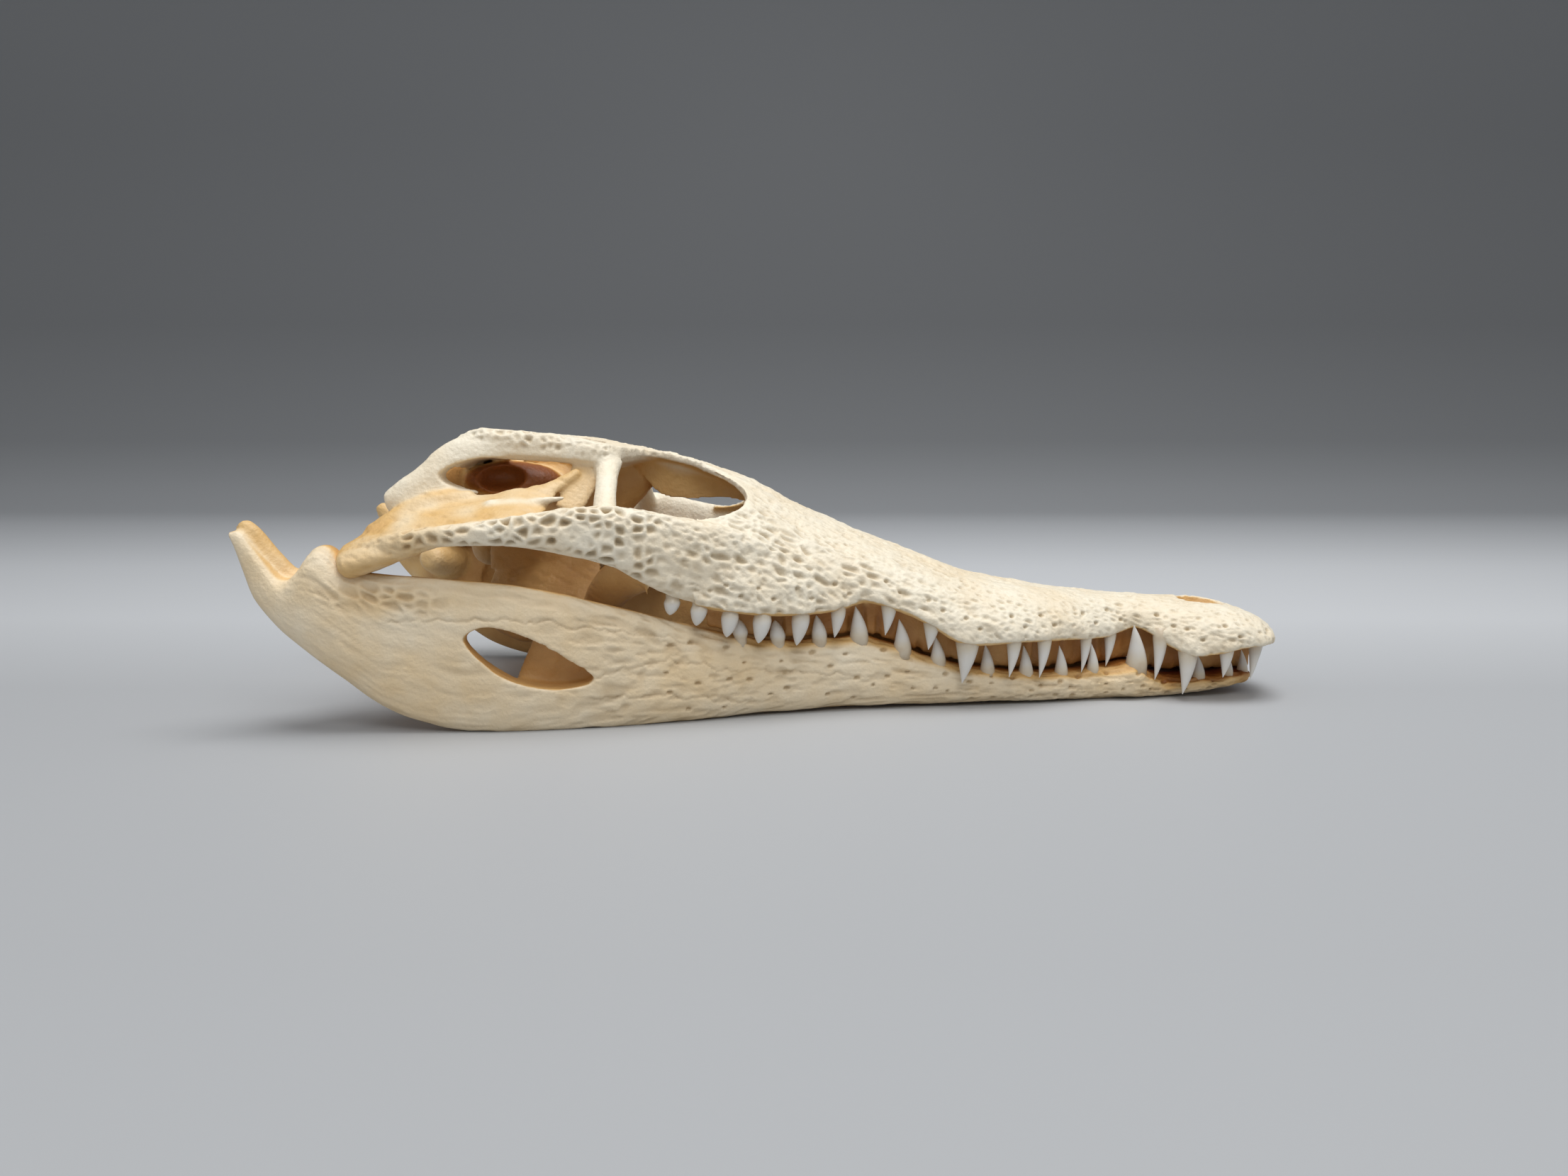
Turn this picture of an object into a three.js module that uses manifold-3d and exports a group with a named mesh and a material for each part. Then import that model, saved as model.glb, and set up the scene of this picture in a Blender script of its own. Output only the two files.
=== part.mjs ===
// A crocodile's skull with its lower jaw closed under it, at life size.
// Millimetres, +X to the tip of the snout, +Z up, the animal's right side at -Y.
// The lower jaw rests on the floor at z = 0, and the origin is under the middle of the whole skull.
import * as THREE from "three";
import { LoftGeometry } from "three/addons/geometries/LoftGeometry.js";
import { mergeVertices } from "three/addons/utils/BufferGeometryUtils.js";
import Module from "manifold-3d";

const wasm = await Module();
wasm.setup();

// Main sizes
const SNOUT_TIP_X = 162.6;
const JAW_END_X = -162.6;
const GAP = 0.3;
const PREMAXILLA_X = 113;
const FACE_X = 5;
const FRONTAL_BACK_X = -50;
const DENTARY_BACK_X = -20;
const FRONTAL_SPLIT_Y = 20;
const FACE_SPLIT_Z = 53;
const JUGAL_FRONT_X = -33;
const OCCIPUT_SPLIT_Y = 15;

// Upper jaw: [x, value] knots of its half width, tooth margin, ridge line and roundness
const UPPER_HALF_WIDTH = [
  [-30, 51.6], [-16, 49.6], [0, 44.5], [20, 36.5], [32, 35], [56, 34.5], [75, 30.5], [95, 21.5],
  [107, 16], [113, 15.2], [119, 17.2], [130, 22.4], [142, 23.4], [152, 20.6], [158, 15.6], [161.5, 9],
  [SNOUT_TIP_X, 4],
];
const UPPER_MARGIN = [
  [-38, 38.6], [-22, 35.1], [-10, 33.4], [2, 33], [13, 33.6], [22, 35.8], [32, 33], [42, 28.6],
  [50, 23.6], [56, 22], [71, 22.4], [86, 22.2], [101, 21.8], [108, 23.2], [PREMAXILLA_X, 24.5],
  [118, 22.5], [124, 18.6], [130, 16.6], [138, 17.2], [147, 19], [SNOUT_TIP_X, 19],
];
const SNOUT_TOP = [
  [-30, 77.6], [-16, 72.8], [-8, 68.8], [0, 64.3], [14, 58.4], [29, 52.1], [44, 46.6], [58, 41.4],
  [73, 38.1], [87, 35.9], [102, 34], [117, 33.2], [131, 32.3], [140, 31.6], [148, 30], [155, 27.2],
  [160, 23.8], [SNOUT_TIP_X, 20.4],
];
const SNOUT_ROUNDNESS = [[-30, 0.85], [0, 0.9], [30, 0.95], [100, 0.88], [SNOUT_TIP_X, 0.8]];
const SNOUT_SIDE_POWER = 0.9;
// Palate across the mouth, from the left margin to the right: share of the half width, height over the margin
const PALATE = [
  [0.95, -1.2], [0.82, -0.6], [0.66, 1.7], [0, 3], [-0.66, 1.7], [-0.82, -0.6], [-0.95, -1.2],
];
const PALATE_FULL_DEPTH = 12;
// Hollow of the face behind the snout: [x, share of the full section] and the wall around it
const FACE_HOLLOW = [[-31, 1], [-20, 1], [-10, 0.96], [-3, 0.84], [2, 0.6]];
const FACE_WALL = 8;
const NARIS = { at: [139.5, 0, 33.5], size: [9, 7.4, 9] };
const ORBIT = { at: [-37.5, -29.6, 71], size: [22.8, 19.4, 14.6], pitch: 8 };
const SUBORBITAL_FENESTRA = { at: [-36, -25.5, 38], size: [28, 12, 16] };

// Cheek bar under the eye: [x, outer half width], thickness, lower and upper edge
const CHEEK_OUTER = [
  [-128, 63], [-115, 65.5], [-100, 65.5], [-80, 63.6], [-60, 60.2], [-45, 56.8], [-30, 52.4], [-8, 43.5],
];
const CHEEK_THICKNESS = [
  [-128, 9], [-115, 7.5], [-100, 6.2], [-80, 6.6], [-60, 8], [-45, 9], [-28, 10], [-8, 8],
];
const CHEEK_LOW = [
  [-128, 48.6], [-117, 50.6], [-104, 54.2], [-85, 54.8], [-73, 53.2], [-54, 48.3], [-46, 43.8],
  [-38, 39.4], [-28, 36.4], [-8, 37],
];
const CHEEK_TOP = [
  [-128, 54.5], [-115, 58.5], [-100, 60.6], [-85, 62.4], [-73, 64.4], [-62, 65.9], [-53, 66], [-45, 64.7],
  [-34, 62.3], [-22, 59.6], [-8, 54],
];

// Roof between the eyes and the square table behind them: half width, edge height, dip of the midline
const ROOF_HALF_WIDTH = [
  [-104, 36.8], [-95, 37], [-80, 36], [-66, 35.4], [-59, 34.4], [-55, 30], [-51, 20.5], [-46, 13.6],
  [-38, 11.4], [-30, 12.6], [-14, 15], [2, 12],
];
const ROOF_EDGE = [
  [-104, 87.2], [-97, 88.6], [-88, 88.2], [-72, 86.6], [-57, 83.7], [-50, 82.6], [-41, 81.2], [-28, 77.2],
  [-14, 71], [2, 60],
];
const ROOF_DIP = [[-104, 0.8], [-70, 1.2], [-45, 2.2], [-25, 1.6], [2, 0]];
const TABLE_THICKNESS = [[-104, 8.4], [-90, 9], [-72, 8.4], [-57, 7.2], [-50, 7]];
const FRONTAL_KEEL_LOW = [[-52, 66.5], [-44, 66], [-20, 65.6], [2, 58]];
const FRONTAL_KEEL_HALF = 6.2;
const FRONTAL_RIM = 3.6;
const FRONTAL_PLATE = 6.4;
const OLFACTORY_GROOVE_RADIUS = 3.4;
const UPPER_TEMPORAL_FENESTRA = { at: [-79, -18.6, 84], size: [12.4, 8.8, 14] };

// Bones drawn along a path: stops of [x, y, z, half width, half height, tilt in degrees], right side
const SQUAMOSAL_PRONG = [
  [-92, -33, 83.4, 3.6, 4.6], [-103, -36, 79, 4.2, 7.2], [-111, -38.8, 73.6, 4.4, 5.6],
  [-117, -40.8, 70.6, 4, 4.6], [-121, -42, 68.6, 3, 3],
];
const QUADRATE = [
  [-67, -35, 75, 1.5, 1.4, 30], [-75, -40, 69.8, 3.4, 1.6, 28], [-84, -48.3, 65.2, 11, 2.2, 21],
  [-96, -50, 62.6, 13.5, 3, 21], [-110, -51.5, 59, 14, 4.2, 22], [-122, -53.5, 53.6, 12.6, 5.2, 14],
  [-129, -54, 50, 12, 5.2, 8],
];
const QUADRATE_ROOT = [[-101, -44, 61, 11, 3.6], [-95, -30, 60.5, 13, 5.4], [-89, -12, 61, 14, 7]];
const BRAINCASE = [
  [-47, 0, 69, 5.6, 11], [-56, 0, 69, 9, 12], [-66, 0, 68, 12, 13], [-80, 0, 66.5, 15, 14.5],
  [-95, 0, 65, 17, 16], [-105, 0, 62.5, 14, 14],
];
const OCCIPUT = [
  [-118, -42.5, 67.6, 2.6, 4.2], [-110, -28, 70, 4, 9], [-105, -10, 70, 5, 13.5], [-104, 0, 70, 5.5, 15],
  [-105, 10, 70, 5, 13.5], [-110, 28, 70, 4, 9], [-118, 42.5, 67.6, 2.6, 4.2],
];
const EAR_CAPSULE = { at: [-91, -18, 71], size: [17, 12, 7.6] };
const EAR_HOLE = { at: [-92, -30, 73.6], size: [8, 9, 4.6] };
const OCCIPITAL_CONDYLE = { at: [-113, 0, 61], size: [6, 5.6, 5] };
const BASAL_TUBER = { at: [-103, 0, 49.5], size: [6.5, 9, 6.5] };
const FORAMEN_MAGNUM = { at: [-112, 0, 71.5], size: [12, 5.4, 4.6] };
const PTERYGOID_WING = [
  [-83, 6, 50.5, 13, 6], [-83, -5, 50, 13.6, 5.4], [-82, -14, 48.6, 16, 3.4], [-80, -25, 41, 18.6, 2.4],
  [-78, -33, 31, 17.4, 2.6], [-77, -36.6, 26, 11, 3],
];
const PTERYGOID_LAMINA = [[-85, -13, 62, 14.5, 2], [-83, -16, 54, 16.5, 2.1], [-82, -19, 46, 17, 2.2]];
const ECTOPTERYGOID = [
  [-62, -37, 31, 2.6, 5], [-56, -41.5, 40, 2.8, 6.5], [-47, -45.4, 46, 2.8, 8], [-37, -43.4, 46, 2.6, 6],
];
const POSTORBITAL_BAR = [
  [-56, -53, 60, 2.9, 4], [-56.8, -46, 66.5, 2.5, 3.3], [-57.6, -36, 74, 2.7, 3.4],
  [-58.2, -30, 78, 3.2, 4.4],
];
const PALATINE = [
  [8, 0, 37.5, 13, 3.2], [-30, 0, 38.5, 10.6, 3.2], [-52, 0, 42.5, 11, 3.4], [-68, 0, 47.5, 13, 3.6],
];

// Lower jaw, right half: [x, value] knots of its middle, half thickness, lower and upper edge
const JAW_MIDDLE = [
  [JAW_END_X, -55], [-150, -56.5], [-138, -57], [-110, -57.4], [-90, -57], [-70, -54.4], [-50, -49.6],
  [-30, -43.2], [-10, -36], [10, -30.4], [28, -26.6], [50, -23], [70, -19.4], [90, -14.6], [102, -11],
  [112, -9.2], [125, -6.6], [140, -5.4], [150, -3.4], [156.5, -1.6],
];
const JAW_HALF_THICKNESS = [
  [JAW_END_X, 4.4], [-150, 7], [-138, 9], [-125, 7], [-110, 5.6], [-70, 5.6], [-50, 6], [-10, 6.4],
  [28, 6.5], [50, 6.6], [70, 6.8], [90, 7.4], [102, 8.2], [112, 10.2], [125, 8.8], [140, 8.6], [150, 6.6],
  [156.5, 2],
];
const JAW_LOW = [
  [JAW_END_X, 57], [-160, 50.3], [-155.6, 38.5], [-143.4, 25.6], [-131.5, 15.3], [-119.4, 6.8],
  [-105, 1.6], [-90, -0.3], [-65, -0.4], [-40, -0.3], [-7, 0.5], [27, 0.8], [56, 0.8], [92, 0.1],
  [110, -0.3], [128, -0.1], [146, 2.4], [153, 4], [156.5, 5.5],
];
const JAW_TOP = [
  [JAW_END_X, 60], [-159.3, 62], [-153, 53.5], [-147.4, 47.1], [-142, 50], [-136.4, 55.2], [-132, 50.6],
  [-127, 47.4], [-121.5, 46.5], [-101.5, 44.9], [-77.8, 42.2], [-54.5, 36.2], [-34.4, 30], [-10, 23.4],
  [13, 23], [21, 23.4], [29, 21.2], [40, 17], [49, 14.2], [68, 10.8], [87, 9.8], [105, 10.8], [112, 11.6],
  [121, 7.8], [135, 7], [150, 7.4], [156.5, 6.6],
];
const JAW_SQUARENESS = 0.78;
const ARTICULAR = [[-133, -56, 40, 8, 7], [-134.5, -49, 40, 8, 7], [-137, -42, 41, 5.6, 5.2]];
// Window in the side of the jaw, as a closed curve of [x, z], its depth in y and the open trough behind it
const JAW_WINDOW = [
  [-95.6, 26.6], [-92.5, 29.4], [-86, 29.6], [-77, 27], [-68, 21.5], [-59.8, 15.6], [-66, 13.2],
  [-75, 13.3], [-84, 15.6], [-91, 20],
];
const JAW_WINDOW_FLOOR_Y = -51.6;
const JAW_WINDOW_TURN = 6;
const JAW_TROUGH = [
  [-86, -49, 26.5, 5.6, 10], [-96, -50.6, 30, 6, 14.5], [-110, -50.8, 33, 5, 12],
  [-118, -50.6, 36, 3.4, 7],
];

// Teeth, right side: [x, crown length, root radius] from the tip of the snout backwards
const PREMAXILLA_TEETH = [
  [157, 10.5, 1.9], [152.6, 12.5, 2.1], [141, 9.5, 2.3], [129, 14.2, 3.1], [120.6, 14, 2.3],
];
const PREMAXILLA_TOOTH_REACH = [0.4, 0.72, 0.86, 0.85, 0.9];
const MAXILLA_TEETH = [
  [104.5, 11.4, 2], [95.3, 12, 1.9], [80.1, 12.8, 2.3], [69.6, 12, 2.4], [54.6, 13.4, 3.7],
  [43, 8.4, 2.6], [29.5, 9.6, 2.5], [13.4, 9.4, 2.4],
];
const HIND_MAXILLA_TEETH = [[1.7, 10.4, 2.9], [-10, 9.4, 2.9], [-19.6, 8.4, 2.7], [-28.8, 6.6, 2.6]];
const LAST_TOOTH = [-36.8, 5.2, 2.5];
const DENTARY_TEETH = [
  [153, 7.5, 1.8], [146, 7.5, 1.8], [135.5, 7, 2], [113.4, 13.6, 3.4], [98.4, 8.8, 1.9], [87.3, 9, 2.1],
  [75.2, 9, 2.3], [62.2, 8.4, 2.3], [45.8, 8, 2.5], [34.2, 9.6, 2.8], [20.2, 9.8, 2.9], [7.6, 8, 2.5],
  [-5.4, 7, 2.5], [-16.8, 6.2, 2.4],
];
const UPPER_TOOTH_INSET = 0.5;
const LOWER_TOOTH_INSET = 0.7;
const TOOTH_ROOT = 3.2;
const TOOTH_OUTWARD_LEAN = 0.12;
const TOOTH_BACKWARD_BEND = 0.13;
const TOOTH_SIDES = 5;
const TOOTH_RINGS = [[-1, 0.95], [0.4, 0.9], [1, 0.16]];

const BONE = { color: 0xe9dcc0, roughness: 0.62, metalness: 0 };
const TAN_BONE = { color: 0xc99a5b, roughness: 0.6, metalness: 0 };
const FAR = 400;

const UP = new THREE.Vector3(0, 0, 1);
const FORWARD = new THREE.Vector3(1, 0, 0);
const LEFT = new THREE.Vector3(0, 1, 0);

// A smooth curve through [x, value] knots, level beyond its ends
function profile(knots) {
  const last = knots.length - 1;
  const slope = knots.map((knot, i) => {
    const before = knots[Math.max(i - 1, 0)];
    const after = knots[Math.min(i + 1, last)];
    return (after[1] - before[1]) / (after[0] - before[0]);
  });
  return (x) => {
    if (x <= knots[0][0]) return knots[0][1];
    if (x >= knots[last][0]) return knots[last][1];
    const i = knots.findIndex((knot) => knot[0] > x) - 1;
    const span = knots[i + 1][0] - knots[i][0];
    const t = (x - knots[i][0]) / span;
    const rise = t * t * (3 - 2 * t);
    const enter = t * (1 - t) * (1 - t) * span * slope[i];
    const leave = t * t * (t - 1) * span * slope[i + 1];
    return knots[i][1] * (1 - rise) + knots[i + 1][1] * rise + enter + leave;
  };
}

const upperHalfWidth = profile(UPPER_HALF_WIDTH);
const upperMargin = profile(UPPER_MARGIN);
const snoutTop = profile(SNOUT_TOP);
const snoutRoundness = profile(SNOUT_ROUNDNESS);
const cheekOuter = profile(CHEEK_OUTER);
const cheekThickness = profile(CHEEK_THICKNESS);
const cheekLow = profile(CHEEK_LOW);
const cheekTop = profile(CHEEK_TOP);
const roofHalfWidth = profile(ROOF_HALF_WIDTH);
const roofEdge = profile(ROOF_EDGE);
const roofDip = profile(ROOF_DIP);
const tableThickness = profile(TABLE_THICKNESS);
const frontalKeelLow = profile(FRONTAL_KEEL_LOW);
const jawMiddle = profile(JAW_MIDDLE);
const jawHalfThickness = profile(JAW_HALF_THICKNESS);
const jawLow = profile(JAW_LOW);
const jawTop = profile(JAW_TOP);

const signedPower = (value, power) => Math.sign(value) * Math.abs(value) ** power;

// Evenly spaced places from one x to another
function places(from, to, count) {
  return Array.from({ length: count + 1 }, (_, i) => from + ((to - from) * i) / count);
}

// A closed geometry as a solid
function solid(geometry) {
  const bare = new THREE.BufferGeometry().setAttribute("position", geometry.getAttribute("position"));
  if (geometry.index) bare.setIndex(geometry.index);
  const merged = mergeVertices(bare, 1e-4);
  const mesh = new wasm.Mesh({
    numProp: 3,
    vertProperties: merged.attributes.position.array,
    triVerts: new Uint32Array(merged.index.array),
  });
  return new wasm.Manifold(mesh);
}

const middleOf = (ring) => ring.reduce((sum, p) => sum.add(p), new THREE.Vector3()).divideScalar(ring.length);

// The direction that a ring faces, by the turn of its points
function facing(ring) {
  const middle = middleOf(ring);
  const sum = new THREE.Vector3();
  ring.forEach((p, i) => {
    const a = p.clone().sub(middle);
    const b = ring[(i + 1) % ring.length].clone().sub(middle);
    sum.add(a.cross(b));
  });
  return sum.normalize();
}

// The rings of a loft moved outwards by grow, with its two ends longer by as much
function grown(rings, grow) {
  return rings.map((ring, k) => {
    const axis = facing(ring);
    const end = k === 0 ? -grow : k === rings.length - 1 ? grow : 0;
    return ring.map((p, i) => {
      const along = ring[(i + 1) % ring.length].clone().sub(ring[(i + ring.length - 1) % ring.length]);
      const out = along.cross(axis).normalize();
      return p.clone().addScaledVector(out, grow).addScaledVector(axis, end);
    });
  });
}

// A solid through closed rings of points
function loft(rings, grow = 0) {
  const forwards = middleOf(rings[1]).sub(middleOf(rings[0]));
  const turned = facing(rings[0]).dot(forwards) < 0 ? rings.map((ring) => [...ring].reverse()) : rings;
  const sections = grow ? grown(turned, grow) : turned;
  return solid(new LoftGeometry(sections, { capStart: true, capEnd: true }));
}

// A bone of oval section along a smooth path of stops [x, y, z, half width, half height, tilt]
function limb(stops, { up = UP, sides = 10, steps = 2, blunt = 0.55 } = {}, grow = 0) {
  const path = new THREE.CatmullRomCurve3(stops.map((s) => new THREE.Vector3(s[0], s[1], s[2])));
  const sized = [3, 4, 5].map((k) => profile(stops.map((s, i) => [i, s[k] ?? 0])));
  const count = (stops.length - 1) * steps;
  const ringAt = (t, shrink, shift) => {
    const middle = path.getPoint(t);
    const along = path.getTangent(t);
    const side = along.clone().cross(up).normalize();
    const top = side.clone().cross(along).normalize();
    const [width, height, tilt] = sized.map((f) => f(t * (stops.length - 1)));
    const lean = THREE.MathUtils.degToRad(tilt);
    const across = side.clone().multiplyScalar(Math.cos(lean)).addScaledVector(top, Math.sin(lean));
    const over = top.clone().multiplyScalar(Math.cos(lean)).addScaledVector(side, -Math.sin(lean));
    middle.addScaledVector(along, shift * Math.min(width, height));
    return Array.from({ length: sides }, (_, i) => {
      const a = (2 * Math.PI * i) / sides;
      return middle
        .clone()
        .addScaledVector(across, Math.cos(a) * width * shrink)
        .addScaledVector(over, Math.sin(a) * height * shrink);
    });
  };
  const rings = [ringAt(0, blunt, -0.6)];
  for (let i = 0; i <= count; i++) rings.push(ringAt(i / count, 1, 0));
  rings.push(ringAt(1, blunt, 0.6));
  return loft(rings, grow);
}

// A box between two corners
function box(low, high) {
  const size = high.map((h, i) => h - low[i]);
  const middle = high.map((h, i) => (h + low[i]) / 2);
  return solid(new THREE.BoxGeometry(...size).translate(...middle));
}

// An oval ball, turned about Y by pitch degrees
function oval({ at, size, pitch = 0 }, grow = 0) {
  const ball = new THREE.SphereGeometry(1, 12, 7);
  ball.scale(...size.map((s) => s + grow));
  ball.rotateY(THREE.MathUtils.degToRad(pitch)).translate(...at);
  return solid(ball);
}

// An upright oval post, for windows that open up and down
function post({ at, size }) {
  const tube = new THREE.CylinderGeometry(1, 1, 2, 16).rotateX(Math.PI / 2);
  tube.scale(...size).translate(...at);
  return solid(tube);
}

const mirrored = (shape) => shape.mirror([0, 1, 0]);
const bothSides = (shape) => shape.add(mirrored(shape));
const slab = (x0, x1) => box([x0, -FAR, -FAR], [x1, FAR, FAR]);

// The upper jaw before it is parted: snout and face as far as the eyes
function snoutRing(x, inset = 0, shrink = 1) {
  const arch = 12;
  const width = (upperHalfWidth(x) - inset) * shrink;
  const margin = upperMargin(x) + inset;
  const rise = (snoutTop(x) - 0.75 * inset - margin) * shrink;
  const depth = Math.min(1, rise / PALATE_FULL_DEPTH);
  const ring = [];
  for (let i = 0; i <= arch; i++) {
    const a = (Math.PI * i) / arch;
    const y = -width * signedPower(Math.cos(a), SNOUT_SIDE_POWER);
    const z = margin + rise * Math.abs(Math.sin(a)) ** snoutRoundness(x);
    ring.push(new THREE.Vector3(x, y, z));
  }
  for (const [share, height] of PALATE) {
    ring.push(new THREE.Vector3(x, share * width, margin + height * depth));
  }
  return ring;
}

function upperJaw() {
  const stations = [...places(-30, 96, 16), ...places(101, 150, 9), 154, 157.6, 160.4, SNOUT_TIP_X];
  const whole = loft(stations.map((x) => snoutRing(x)));
  const hollow = loft(FACE_HOLLOW.map(([x, shrink]) => snoutRing(x, FACE_WALL, shrink)));
  const windows = bothSides(oval(ORBIT).add(post(SUBORBITAL_FENESTRA)));
  return whole.subtract(hollow).subtract(windows).subtract(oval(NARIS));
}

// The bar under the eye, from the face back to the jaw joint
function cheekBar(grow = 0) {
  const ringAt = (x) => {
    const half = cheekThickness(x) / 2;
    const middleY = half - cheekOuter(x);
    const low = cheekLow(x);
    const high = cheekTop(x);
    return Array.from({ length: 10 }, (_, i) => {
      const a = (2 * Math.PI * i) / 10;
      const y = middleY + half * signedPower(Math.cos(a), 0.8);
      return new THREE.Vector3(x, y, (low + high) / 2 + ((high - low) / 2) * signedPower(Math.sin(a), 0.85));
    });
  };
  return loft(places(-8, -128, 16).map(ringAt), grow);
}

// The narrow roof between the eyes, with the keel under it
function frontalBar(grow = 0) {
  const ringAt = (x) => {
    const half = roofHalfWidth(x);
    const edge = roofEdge(x);
    const dip = roofDip(x);
    const left = [
      [half, edge],
      [half - 0.6, edge - FRONTAL_RIM],
      [FRONTAL_KEEL_HALF + 1.6, edge - FRONTAL_PLATE],
      [FRONTAL_KEEL_HALF - 0.6, frontalKeelLow(x)],
    ];
    const top = [
      [-0.55 * half, edge - 0.6 * dip],
      [0, edge - dip],
      [0.55 * half, edge - 0.6 * dip],
    ];
    const right = left.map(([y, z]) => [-y, z]).reverse();
    return [...right, ...top, ...left].map(([y, z]) => new THREE.Vector3(x, y, z));
  };
  const bar = loft(places(2, FRONTAL_BACK_X + GAP, 9).map(ringAt), grow);
  const radius = OLFACTORY_GROOVE_RADIUS;
  const groove = new THREE.CylinderGeometry(radius, radius, 80, 8).rotateZ(Math.PI / 2);
  return bar.subtract(solid(groove.translate(-30, 0, frontalKeelLow(-30))));
}

// The flat table over the braincase, with its two round windows
function skullTable(grow = 0) {
  const ringAt = (x) => {
    const half = roofHalfWidth(x);
    const edge = roofEdge(x);
    const dip = roofDip(x);
    const low = edge - tableThickness(x);
    const top = [[-half, edge - 2.2], [-half + 1.6, edge], [-0.5 * half, edge - 0.6 * dip], [0, edge - dip]];
    const under = [[half, low + 1.6], [half - 2.4, low], [0.5 * half, low - 0.4], [0, low - 0.8]];
    const other = (points) => points.slice(0, 3).reverse().map(([y, z]) => [-y, z]);
    return [...top, ...other(top), ...under, ...other(under)].map(([y, z]) => new THREE.Vector3(x, y, z));
  };
  const plate = loft([-50, -52.4, -55, -58, -62, ...places(-70, -97, 3), -101, -104].map(ringAt), grow);
  return grow ? plate : plate.subtract(bothSides(post(UPPER_TEMPORAL_FENESTRA)));
}

const squamosal = (grow = 0) => limb(SQUAMOSAL_PRONG, { steps: 1 }, grow);
const exoccipital = (grow = 0) => limb(OCCIPUT, { steps: 1 }, grow);

// The box around the brain, with the ear capsules, the neck joint and the middle of the back wall
function braincase(grow = 0) {
  const ears = bothSides(oval(EAR_CAPSULE, grow));
  const lumps = ears.add(oval(OCCIPITAL_CONDYLE, grow)).add(oval(BASAL_TUBER, grow));
  const reach = OCCIPUT_SPLIT_Y + grow;
  const backWall = exoccipital(grow).intersect(box([-FAR, -reach, -FAR], [FAR, reach, FAR]));
  const whole = limb(BRAINCASE, { sides: 12, steps: 1 }, grow).add(backWall).add(lumps);
  return grow ? whole : whole.subtract(oval(FORAMEN_MAGNUM)).subtract(bothSides(oval(EAR_HOLE)));
}

function quadrate(grow = 0) {
  const arm = limb(QUADRATE, { sides: 12, steps: 1 }, grow);
  return arm.add(limb(QUADRATE_ROOT, { steps: 1 }, grow));
}

const postorbitalBar = (grow = 0) => limb(POSTORBITAL_BAR, { up: FORWARD, sides: 8, steps: 1 }, grow);
const ectopterygoid = (grow = 0) => limb(ECTOPTERYGOID, { up: FORWARD, sides: 8 }, grow);
const palatineBar = (grow = 0) => limb(PALATINE, {}, grow);

function pterygoid(grow = 0) {
  const wing = limb(PTERYGOID_WING, { up: LEFT, sides: 12, steps: 1 }, grow);
  const lamina = limb(PTERYGOID_LAMINA, { up: LEFT, steps: 1 }, grow);
  return wing.add(lamina);
}

// One half of the lower jaw, whole, with its joint socket, side window and trough
function jawHalf() {
  const sides = 12;
  const full = Math.cos(Math.PI / sides) ** JAW_SQUARENESS;
  const ringAt = (x) => {
    const half = jawHalfThickness(x);
    const low = jawLow(x);
    const high = jawTop(x);
    return Array.from({ length: sides }, (_, i) => {
      const a = (2 * Math.PI * (i + 0.5)) / sides;
      const y = jawMiddle(x) + (half / full) * signedPower(Math.cos(a), JAW_SQUARENESS);
      const rise = signedPower(Math.sin(a), JAW_SQUARENESS) / full;
      return new THREE.Vector3(x, y, (low + high) / 2 + ((high - low) / 2) * rise);
    });
  };
  const hind = [JAW_END_X, -161, -158.6, -155, -151, -147.4, -142, -136.4, -132, -126];
  const stations = [...hind, ...places(-118, 100, 18), ...places(106, 150, 6), 153.6, 156.5];
  const bar = loft(stations.map(ringAt)).add(limb(ARTICULAR));
  const floor = box([-FAR, -FAR, -FAR], [FAR, FAR, 0]);
  const middle = box([-FAR, -GAP / 2, -FAR], [FAR, FAR, FAR]);
  return bar.subtract(jawWindow()).subtract(limb(JAW_TROUGH, { steps: 1 })).subtract(floor).subtract(middle);
}

function jawWindow() {
  const curve = new THREE.CatmullRomCurve3(JAW_WINDOW.map(([x, z]) => new THREE.Vector3(x, z, 0)), true);
  const outline = new THREE.Shape(curve.getPoints(16).slice(0, -1).map((p) => new THREE.Vector2(p.x, p.y)));
  const cutter = new THREE.ExtrudeGeometry(outline, { depth: 40, bevelEnabled: false });
  const pivot = JAW_WINDOW[2][0];
  cutter.translate(-pivot, 0, 0).rotateX(Math.PI / 2).rotateZ(THREE.MathUtils.degToRad(JAW_WINDOW_TURN));
  return solid(cutter.translate(pivot, JAW_WINDOW_FLOOR_Y, 0));
}

// One tooth from its root, bent backwards and leaning out to the right
function tooth(x, y, z, length, radius, pointing) {
  const ringAt = ([share, width]) => {
    const along = share < 0 ? -TOOTH_ROOT : share * length;
    const bend = share < 0 ? 0 : share * share * length;
    const middleX = x - TOOTH_BACKWARD_BEND * bend;
    const middleY = y - TOOTH_OUTWARD_LEAN * along;
    return Array.from({ length: TOOTH_SIDES }, (_, i) => {
      const a = (2 * Math.PI * i) / TOOTH_SIDES;
      const sideX = Math.cos(a) * radius * width;
      const sideY = Math.sin(a) * radius * width;
      return new THREE.Vector3(middleX + sideX, middleY + sideY, z + pointing * along);
    });
  };
  return loft(TOOTH_RINGS.map(ringAt));
}

const upperTooth = ([x, length, radius], reach) => {
  const y = reach ? -reach * upperHalfWidth(x) : UPPER_TOOTH_INSET + radius - upperHalfWidth(x);
  return tooth(x, y, upperMargin(x), length, radius, -1);
};

const lowerTooth = ([x, length, radius]) => {
  const y = jawMiddle(x) - jawHalfThickness(x) + LOWER_TOOTH_INSET + radius;
  return tooth(x, y, jawTop(x), length, radius, 1);
};

const joined = (shapes) => shapes.reduce((sum, shape) => sum.add(shape));

// The largest closed surface of a solid
function largest(shape) {
  return shape.decompose().reduce((best, piece) => (piece.volume() > best.volume() ? piece : best));
}

const root = new THREE.Group();

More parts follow.
